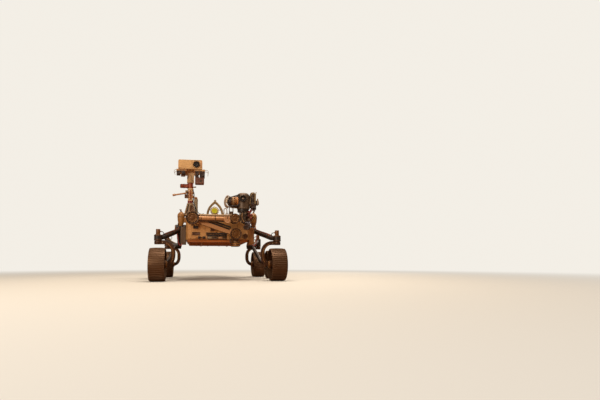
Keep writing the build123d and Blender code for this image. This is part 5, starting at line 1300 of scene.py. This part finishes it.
# Round connectors: place, axis, radius, length, finish
CONNECTORS = (
    ((0.512, -1.262, 1.086), (1, 0, 0.2), 0.021, 0.036, "crimson"),
    ((0.512, -1.262, 1.036), LEFT, 0.022, 0.032, "crimson"),
    ((0.500, -1.245, 1.108), (0.3, 0, 1), 0.024, 0.046, "crimson"),
    ((0.530, -1.240, 1.150), (0.2, 0, 1), 0.017, 0.034, "crimson"),
    ((0.492, -1.300, 1.010), FRONT, 0.018, 0.016, "tool_grey"),
    ((0.478, -1.296, 1.070), FRONT, 0.015, 0.020, "crimson"),
    ((0.380, -1.296, 1.100), FRONT, 0.017, 0.018, "tool_grey"),
    ((0.430, -1.296, 1.108), FRONT, 0.014, 0.022, "antenna_cream"),
)
for number, (place, axis, radius, length, coat) in enumerate(CONNECTORS):
    way = Vector(axis).normalized()
    base = Vector(place) - way * 0.012
    plug = drum(base, axis, radius, length + 0.012, 28, 0.0015, ((0.004, 0.0), (0.001, -0.005)))
    dress(plug, "wrist_plug_%d" % number, coat, *WRIST)
    ring("wrist_plug_ring_%d" % number, base + way * (length * 0.55 + 0.006), axis, radius,
         0.0022, "tool_dark", *WRIST, 28)
# The dark box, post and drum under the wrist fill a dark area that is partly a shadow: they are
# partly painted shadow.
low_box = slab((0.405, -1.290, 0.842), (0.496, -1.254, 0.908), 0.010, FRONT,
               ((0.010, 0.0), (0.003, -0.004)))
low_post = slab((0.430, -1.282, 0.900), (0.500, -1.258, 0.992), 0.004)
dress([low_box, low_post], "wrist_low_unit", "camera_dark", *WRIST)
canister = drum((0.426, -1.270, 0.938), LEFT, 0.038, 0.088, 44, 0.004,
                ((0.008, 0.0), (0.002, -0.004), (0.012, 0.0), (0.002, 0.005)))
dress(canister, "wrist_canister", "steel_blue", *WRIST)
low_eye = drum((0.446, -1.300, 0.938), FRONT, 0.021, 0.014, 36, 0.002,
               ((0.005, 0.0), (0.001, -0.006)))
dress(low_eye, "wrist_low_eye", "slot_black", *WRIST)
low_drum = drum((0.405, -1.262, 0.946), UP, 0.034, 0.030, 36, 0.003, (),
                ((0.008, 0.0), (0.002, 0.006)))
dress(low_drum, "wrist_low_drum", "camera_dark", *WRIST)
LEADS = (
    ((0.545, -1.262, 1.088), (0.566, -1.262, 1.080), (0.560, -1.256, 1.020),
     (0.530, -1.250, 0.985), (0.500, -1.250, 0.975)),
    ((0.540, -1.262, 1.036), (0.556, -1.266, 1.010), (0.535, -1.266, 0.960),
     (0.490, -1.262, 0.936)),
    ((0.380, -1.312, 1.100), (0.372, -1.322, 1.060), (0.380, -1.318, 1.010),
     (0.410, -1.305, 0.966)),
    ((0.430, -1.316, 1.108), (0.440, -1.326, 1.080), (0.462, -1.322, 1.050),
     (0.478, -1.312, 1.066)),
    ((0.352, -1.250, 1.090), (0.336, -1.240, 1.110), (0.340, -1.225, 1.140),
     (0.352, -1.215, 1.150)),
    ((0.366, -1.296, 0.985), (0.352, -1.302, 0.960), (0.366, -1.290, 0.942),
     (0.390, -1.280, 0.940)),
)
for number, points in enumerate(LEADS):
    cable("wrist_lead_%d" % number, points, 0.0055,
          ("cable_black", "joint_brown", "cable_tan")[number % 3], *WRIST)
print("wrist fittings in")

# %% [markdown]
# The turret is a round housing. A camera port looks forward, a copper-coloured
# spectrometer barrel lies in a black frame on one side, and the drill stands on
# the other with thin hoops round it. A pale curved guard closes the barrel's far
# end. The frame bars are cylinders aimed between two points.

# %% Turret: port, barrel frame, guard, drill fittings
TURRET = ("arm_turret", "turret_paint")
BARREL = ("arm_turret", "barrel_orange")
DRILL = ("arm_turret", "fork_metal")
PORT_X, PORT_Z = 0.390, 1.350
BARREL_Z = 1.318
DRILL_X = 0.571
ring("port_rim", (PORT_X, -1.341, PORT_Z), FRONT, 0.0490, 0.0080, "slot_black", *TURRET, 56)
port_tube = drum((PORT_X, -1.320, PORT_Z), FRONT, 0.040, 0.010, 48, 0.001,
                 ((0.012, 0.0), (0.001, -0.004)))
dress(port_tube, "port_tube", "slot_black", *TURRET)
port_lens = drum((PORT_X, -1.324, PORT_Z), FRONT, 0.015, 0.010, 40, 0.001,
                 ((0.005, 0.002), (0.004, 0.001)))
dress(port_lens, "port_lens", "guard_grey", *TURRET)
bands("turret_bands", [(TURRET_X, ARM_Y, z) for z in (1.206, 1.290, 1.388)], UP, 0.1095, 0.008,
      "tool_grey", *TURRET)
rib = slab((0.104, -0.006, 1.214), (0.1125, 0.006, 1.384), 0.001)
turret_axis = Matrix.Translation((TURRET_X, ARM_Y, 0))
turret_ribs = [copied(rib, turret_axis @ Matrix.Rotation(radians(angle), 4, "Z"))
               for angle in (-55, -30, 20, 60, 100, 140)]
scrap(rib)
dress(turret_ribs, "turret_ribs", "tool_grey", *TURRET)
bolts("turret_bolts", around((TURRET_X, ARM_Y, 1.4600), UP, 0.040, 8), UP, 0.0045, *TURRET)
# Frame bars: start, end, radius
FRAME_BARS = (
    ((0.330, -1.262, 1.424), (0.170, -1.262, 1.372), 0.009),
    ((0.170, -1.262, 1.372), (0.150, -1.262, 1.300), 0.007),
    ((0.330, -1.255, 1.232), (0.185, -1.255, 1.232), 0.010),
    ((0.185, -1.255, 1.232), (0.150, -1.262, 1.300), 0.007),
    ((0.330, -1.275, 1.430), (0.330, -1.262, 1.228), 0.010),
    ((0.262, -1.270, 1.404), (0.262, -1.262, 1.232), 0.007),
    ((0.330, -1.120, 1.424), (0.180, -1.120, 1.380), 0.008),
    ((0.330, -1.120, 1.232), (0.185, -1.120, 1.232), 0.008),
)
dress([bar(*row) for row in FRAME_BARS], "barrel_frame", "slot_black", *BARREL)
bands("barrel_bands", [(x, ARM_Y, BARREL_Z) for x in (0.208, 0.286)], LEFT, 0.0815, 0.012,
      "joint_brown", *BARREL)
bands("barrel_olive", [(0.236, ARM_Y, BARREL_Z)], LEFT, 0.0812, 0.020, "hoop_olive", *BARREL)
dress(slab((0.215, -1.262, 1.212), (0.330, -1.130, 1.248), 0.006), "barrel_keel", "camera_dark",
      *BARREL)
GUARD = ((0.150, 1.408), (0.122, 1.392), (0.104, 1.350), (0.100, 1.306), (0.108, 1.262),
         (0.128, 1.232), (0.160, 1.216))
guard = [wire([(x, ARM_Y + aside, z) for x, z in GUARD], 0.0125)
         for aside in (-0.060, -0.040, 0.040, 0.060)]
guard += [bar((x, ARM_Y - 0.060, z), (x, ARM_Y + 0.060, z), 0.005) for x, z in GUARD[1::2]]
guard += [bar((0.150, -1.242, 1.408), (0.200, -1.242, 1.384), 0.006),
          bar((0.160, -1.242, 1.216), (0.215, -1.242, 1.226), 0.006)]
dress(guard, "barrel_guard", "guard_grey", *BARREL)
bands("drill_bands", [(DRILL_X, ARM_Y, z) for z in (1.232, 1.300, 1.380, 1.430)], UP, 0.0520,
      0.012, "tool_grey", *DRILL)
drill_cap = drum((DRILL_X, ARM_Y, 1.452), UP, 0.040, 0.016, 40, 0.003,
                 ((0.010, 0.0), (0.002, 0.010), (0.012, 0.0), (0.002, -0.004)))
dress(drill_cap, "drill_cap", "tool_grey", *DRILL)
spindles = [
    wire(((0.530, -1.250, 1.240), (0.520, -1.256, 1.330), (0.528, -1.256, 1.420),
          (0.562, -1.250, 1.462), (0.590, -1.246, 1.470)), 0.006),
    wire(((0.606, -1.246, 1.250), (0.612, -1.250, 1.360), (0.612, -1.246, 1.440),
          (0.622, -1.240, 1.478)), 0.007),
    wire(((0.585, -1.246, 1.470), (0.600, -1.240, 1.430), (0.596, -1.240, 1.330),
          (0.600, -1.240, 1.270)), 0.005),
]
dress(spindles, "drill_spindles", "hoop_olive", *DRILL)
drill_canister = drum((0.653, -1.202, 1.270), UP, 0.022, 0.064, 32, 0.006,
                      ((0.006, 0.0), (0.002, 0.022), (0.003, 0.018)))
dress(drill_canister, "drill_canister", "guard_grey", *DRILL)
dress([drum((DRILL_X, ARM_Y, 1.186 + 0.012 * i), UP, 0.0315 + 0.0012 * i, 0.006, 40, 0.001)
       for i in range(3)], "chuck_rings", "tool_dark", *DRILL)
dark_box = slab((0.530, -1.262, 1.208), (0.612, -1.236, 1.276), 0.008, FRONT,
                ((0.010, 0.0), (0.003, -0.004)))
dress(dark_box, "drill_box", "camera_dark", *DRILL)
TURRET_LEADS = (
    ("cable_black", ((0.470, -1.290, 1.420), (0.500, -1.300, 1.400), (0.530, -1.280, 1.360),
                     (0.545, -1.262, 1.300))),
    ("joint_brown", ((0.490, -1.270, 1.300), (0.510, -1.290, 1.270), (0.530, -1.280, 1.250),
                     (0.545, -1.262, 1.240))),
    ("cable_black", ((0.335, -1.300, 1.270), (0.300, -1.310, 1.240), (0.260, -1.300, 1.230),
                     (0.240, -1.262, 1.240))),
)
for number, (coat, points) in enumerate(TURRET_LEADS):
    cable("turret_lead_%d" % number, points, 0.006, coat, *TURRET)
print("turret fittings in")

# %% [markdown]
# On the deck the photo shows the hoop with its bright yellow disc in a pale ring,
# and small loops beside it. The rest of the deck can't be seen from the ground,
# so it gets what such decks carry: covers with bolts, looms of cable between the
# units, tile joints on the antenna and tubing on the heat plates.

# %% Deck: hoop, disc, units, looms
HOOP = ("root", "hoop_metal")
DISC = ("root", "disc_yellow")
DECK = ("root", "deck_paint")
DECK_Z = 1.125
HOOP_X, HOOP_Y = -0.018, -0.250
FOOT_REACH = 0.146
DISC_X, DISC_Z = -0.027, 1.286
disc_face = drum((DISC_X, -0.259, DISC_Z), FRONT, 0.0525, 0.004, 64, 0.0015,
                 ((0.008, 0.0), (0.001, -0.0012)))
dress(disc_face, "disc_face", "disc_yellow", *DISC)
dress(drum((DISC_X, -0.2405, DISC_Z), BACK, 0.082, 0.004, 64, 0.001), "disc_halo", "pale_halo",
      *DISC)
ring("disc_ring", (DISC_X, HOOP_Y, DISC_Z), FRONT, 0.0535, 0.0050, "pale_halo", *DISC, 64)
struts = [bar((DISC_X + sign * 0.070, -0.2385, DISC_Z + 0.02),
              (HOOP_X + sign * 0.140, HOOP_Y, DISC_Z + 0.01), 0.006) for sign in (-1, 1)]
dress(struts, "disc_struts", "hoop_olive", *HOOP)
foot_middles = [HOOP_X + sign * FOOT_REACH for sign in (-1, 1)]
feet = [slab((x - 0.032, -0.286, DECK_Z), (x + 0.032, -0.214, 1.137)) for x in foot_middles]
dress(feet, "hoop_feet", "hoop_olive", *HOOP)
bolts("hoop_bolts", [(x + a * 0.023, y, 1.137) for x in foot_middles for a in (-1, 1)
                     for y in (-0.277, -0.223)], UP, 0.0055, *HOOP)
for side, sign in SIDES:
    points = ((0.147, 1.124), (0.145, 1.215), (0.124, 1.310), (0.070, 1.395), (0.004, 1.452))
    cable("hoop_tube_" + side, [(HOOP_X + sign * x, HOOP_Y, z) for x, z in points], 0.0225,
          "hoop_olive", *HOOP, 3)
ring("hoop_eye", (HOOP_X, HOOP_Y, 1.478), FRONT, 0.015, 0.006, "hoop_olive", *HOOP, 32)
for number, (x, z, radius) in enumerate(((-0.206, 1.190, 0.022), (0.210, 1.215, 0.030),
                                         (0.250, 1.180, 0.024))):
    ring("deck_loop_%d" % number, (x, -0.262, z), (0.2, -1, 0), radius, 0.0055, "hoop_olive",
         *DECK, 32)
    dress(bar((x, -0.262, 1.124), (x, -0.262, z - radius), 0.006), "deck_loop_post_%d" % number,
          "hoop_olive", *DECK)
dress(drum((-0.241, HOOP_Y, 1.215), UP, 0.013, 0.016, 24, 0.004), "deck_knob", "slot_black", *DECK)
bolts("pivot_bolts", around((0, -0.330, 1.207), UP, 0.036, 8), UP, 0.0048, *HOOP)
pivot_cap = drum((0, -0.330, 1.207), UP, 0.026, 0.012, 40, 0.002, ((0.008, 0.0), (0.002, -0.004)))
dress(pivot_cap, "pivot_cap", "joint_gold", *HOOP)
bar_ribs = [slab((x - 0.003, -0.370, 1.170), (x + 0.003, -0.290, 1.198), 0.001)
            for x in (-0.52, -0.36, -0.20, 0.20, 0.36, 0.52)]
dress(bar_ribs, "differential_ribs", "fork_brown", *HOOP)
# Lids on the deck units: x, y, width, depth, top
UNIT_LIDS = (
    (0.232, -0.215, 0.060, 0.060, 1.195), (0.330, -0.520, 0.110, 0.090, 1.159),
    (0.060, -0.640, 0.130, 0.110, 1.153), (-0.140, -0.640, 0.110, 0.110, 1.153),
    (-0.150, 0.400, 0.210, 0.170, 1.177), (-0.430, 0.180, 0.130, 0.240, 1.183),
    (0.440, 0.420, 0.120, 0.180, 1.171),
)
for number, (x, y, width, depth, top) in enumerate(UNIT_LIDS):
    half, deep = width / 2, depth / 2
    lid = slab((x - half - 0.002, y - deep - 0.002, top - 0.002),
               (x + half + 0.002, y + deep + 0.002, top + 0.006), 0.0015, UP,
               ((0.012, 0.0), (0.002, 0.003 if number % 2 else -0.003)))
    dress(lid, "unit_lid_%d" % number, ("cone_paint", "tool_grey", "golden_panel")[number % 3],
          *DECK)
    bolts("unit_bolts_%d" % number,
          [(x + a * (half - 0.004), y + b * (deep - 0.004), top + 0.006)
           for a in (-1, 1) for b in (-1, 1)], UP, 0.0034, *DECK)
inserts = [drum((0.200 + a * 0.085, 0.555 + b * 0.055, 1.1385), UP, 0.009, 0.0015, 24, 0.0004,
                ((0.003, 0.0), (0.001, -0.001))) for a in (-1, 0, 1) for b in (-1, 1)]
dress(inserts, "pad_inserts", "bolt_metal", *DECK)
rim_spots = [(x, y, DECK_Z) for y in (-0.982, 0.652)
             for x in (-0.50, -0.36, -0.22, -0.08, 0.08, 0.22, 0.36, 0.50)]
rim_spots += [(x, y, DECK_Z) for x in (-0.541, 0.541)
              for y in (-0.88, -0.72, -0.56, -0.12, 0.04, 0.20, 0.36, 0.52)]
bolts("deck_bolts", rim_spots, UP, 0.0048, *DECK)
joints = [slab((-0.530, y - 0.0012, 1.1240), (0.530, y + 0.0012, 1.1256), 0)
          for y in (-0.730, -0.120, 0.280)]
joints += [slab((x - 0.0012, -0.960, 1.1240), (x + 0.0012, -0.380, 1.1256), 0)
           for x in (-0.240, 0.220)]
dress(joints, "deck_joints", "joint_brown", *DECK)
# Looms over the deck as x and y, and their height
LOOM_Z = 1.131
LOOMS = (
    ((-0.376, -0.760), (-0.300, -0.720), (-0.230, -0.600), (-0.220, -0.480), (-0.160, -0.400),
     (-0.060, -0.390)),
    ((-0.376, -0.790), (-0.220, -0.800), (-0.020, -0.760), (0.040, -0.700)),
    ((0.125, -0.640), (0.200, -0.620), (0.260, -0.560), (0.276, -0.520)),
    ((0.385, -0.520), (0.450, -0.440), (0.470, -0.200), (0.430, 0.060), (0.386, 0.130)),
    ((-0.365, 0.200), (-0.280, 0.220), (-0.200, 0.280), (-0.170, 0.316)),
    ((0.325, 0.211), (0.330, 0.300), (0.360, 0.380), (0.381, 0.400)),
    ((-0.380, -0.202), (-0.390, -0.120), (-0.410, -0.020), (-0.430, 0.061)),
    ((0.068, 0.380), (0.020, 0.390), (-0.020, 0.395), (-0.046, 0.400)),
)
for number, points in enumerate(LOOMS):
    for aside, radius, coat in ((0, 0.0065, "cable_black"), (13, 0.005, "cable_tan")):
        cable("deck_loom_%d_%d" % (number, aside),
              [(x, y + aside / 1000, LOOM_Z) for x, y in points], radius, coat, *DECK)
print("deck fittings in")

# %% Antennas: bands, tiles, ribs
WHITE = ("root", "white_paint")
GIMBAL = ("antenna_stage", "hoop_metal")
DISH = ("antenna_panel", "white_paint")
RELAY_X = -0.380
bands("relay_bands", [(RELAY_X, HOOP_Y, z) for z in (1.180, 1.300, 1.420)], UP, 0.0385, 0.008,
      "cone_paint", *MAST)
bolts("relay_bolts", around((RELAY_X, HOOP_Y, 1.149), UP, 0.0430, 8), UP, 0.0030, *MAST)
bands("low_gain_band", [(0.090, 0.380, 1.160)], UP, 0.0235, 0.010, "tool_grey", *WHITE)
bolts("base_bolts", [(0.325 + a * 0.050, 0.150 + b * 0.050, 1.151)
                     for a in (-1, 1) for b in (-1, 1)], UP, 0.0050, *WHITE)
bands("gimbal_bands", [(0.325, 0.150, z) for z in (1.228, 1.308)], UP, 0.0455, 0.010,
      "tool_dark", *GIMBAL)
motor = drum((0.369, 0.150, 1.500), LEFT, 0.022, 0.034, 32, 0.002, ((0.006, 0.0), (0.002, -0.004)))
dress(motor, "gimbal_motor", "tool_dark", *GIMBAL)
dish_pivot = Vector((0.325, 0.150, 1.500))
lean = radians(30)
dish_axis = Vector((0, -cos(lean), sin(lean)))
dish_up = Vector((0, sin(lean), cos(lean)))
dish_side = Vector(LEFT)
face_turn = Matrix(((1, 0, 0), (0, dish_up.y, dish_axis.y), (0, dish_up.z, dish_axis.z))).to_4x4()
tile = drum((0, 0, 0), UP, 0.0200, 0.003, 6, 0.0008, ((0.003, 0.0), (0.0008, -0.0008)))
tiles = []
for row in range(-3, 4):
    for column in range(-3, 4):
        u = column * 0.0335
        v = (row + (0.5 if column % 2 else 0.0)) * 0.0385
        if abs(u) < 0.105 and abs(v) < 0.096 and abs(v) * 0.5 + abs(u) * 0.866 < 0.098:
            spot = dish_pivot + dish_axis * 0.076 + dish_side * u + dish_up * v
            tiles.append(copied(tile, Matrix.Translation(spot) @ face_turn))
scrap(tile)
dress(tiles, "dish_tiles", "cone_paint", *DISH)
rib_root = dish_pivot + dish_axis * 0.050
rib_ways = [dish_side * cos(angle) + dish_up * sin(angle)
            for angle in (radians(degrees) for degrees in range(0, 360, 60))]
dress([bar(rib_root + way * 0.030, rib_root + way * 0.090, 0.004) for way in rib_ways],
      "dish_ribs", "tool_grey", *DISH)
print("antenna fittings in")

# %% Power source and heat plates
FINS = ("root", "dark_fins")
tilt = radians(20)
core_axis = Vector((0, cos(tilt), sin(tilt)))
core_middle = Vector((0, 1.080, 1.030))
core_side = Vector(LEFT)
core_up = core_side.cross(core_axis).normalized()
core_end = core_middle + core_axis * 0.330
end_cap = drum(core_end, core_axis, 0.108, 0.014, 64, 0.003,
               ((0.016, 0.0), (0.002, 0.008), (0.034, 0.0), (0.002, -0.005)))
dress(end_cap, "source_end_cap", "tool_dark", *FINS)
bolts("source_bolts", around(core_end, core_axis, 0.113, 16), core_axis, 0.0045, *FINS)
bands("source_rings", [core_middle + core_axis * t for t in (-0.300, -0.284)], core_axis, 0.1205,
      0.010, "tool_dark", *FINS)
rails = []
for i in range(8):
    turn = radians(22.5 + 45 * i)
    way = core_side * cos(turn) + core_up * sin(turn)
    fin_edge = core_middle + way * 0.316
    rails.append(bar(fin_edge - core_axis * 0.268, fin_edge + core_axis * 0.328, 0.0065, 16))
    for t in (-0.18, 0.0, 0.18):
        spot = core_middle + core_axis * t
        rails.append(bar(spot + way * 0.122, spot + way * 0.306, 0.0055, 12))
dress(rails, "fin_rails", "source_grey", *FINS)
PLATE_BOLTS = ((0.720, 0.740), (0.720, 1.100), (1.250, 0.880), (1.250, 1.160), (1.100, 0.740))
for side, sign in SIDES:
    face = sign * 0.3985
    path = []
    for index, z in enumerate((0.790, 0.850, 0.910, 0.970, 1.030, 1.090)):
        start, end = (1.190, 0.740) if index % 2 else (0.740, 1.190)
        path += [(face, start, z), (face, 0.965, z), (face, end, z)]
    cable("plate_tubing_" + side, path, 0.006, "pipe_metal", *WHITE)
    bolts("plate_bolts_" + side, [(face, y, z) for y, z in PLATE_BOLTS], (sign, 0, 0), 0.0055,
          *WHITE)
    cable("plate_feed_" + side,
          flip(sign, (0.385, 0.648, 0.860), (0.388, 0.680, 0.862), (0.392, 0.720, 0.800),
               (0.3985, 0.740, 0.790)), 0.0075, "cable_black", *WHITE)
print("power source dressed")

# %% Hazard cameras
HAZARD = ("root", "lens_dark")
# Eyes: x, y of the face, way they look, z
EYES = ((-0.314, -1.052, -1, 0.722), (-0.236, -1.044, -1, 0.722), (-0.430, 0.702, 1, 0.800),
        (0.430, 0.702, 1, 0.800))
for number, (x, y, way, z) in enumerate(EYES):
    for name, coat, radius, length, sides, soft, steps in (
            ("hood", "camera_dark", 0.0175, 0.010, 36, 0.001, ((0.004, 0.0), (0.001, -0.005))),
            ("glass", "lens_glass", 0.0115, 0.008, 32, 0.0008, ((0.004, 0.0012), (0.003, 0.0006)))):
        eye = drum((x, y - way * 0.004, z), (0, way, 0), radius, length, sides, soft, steps)
        dress(eye, "hazard_%s_%d" % (name, number), coat, *HAZARD)
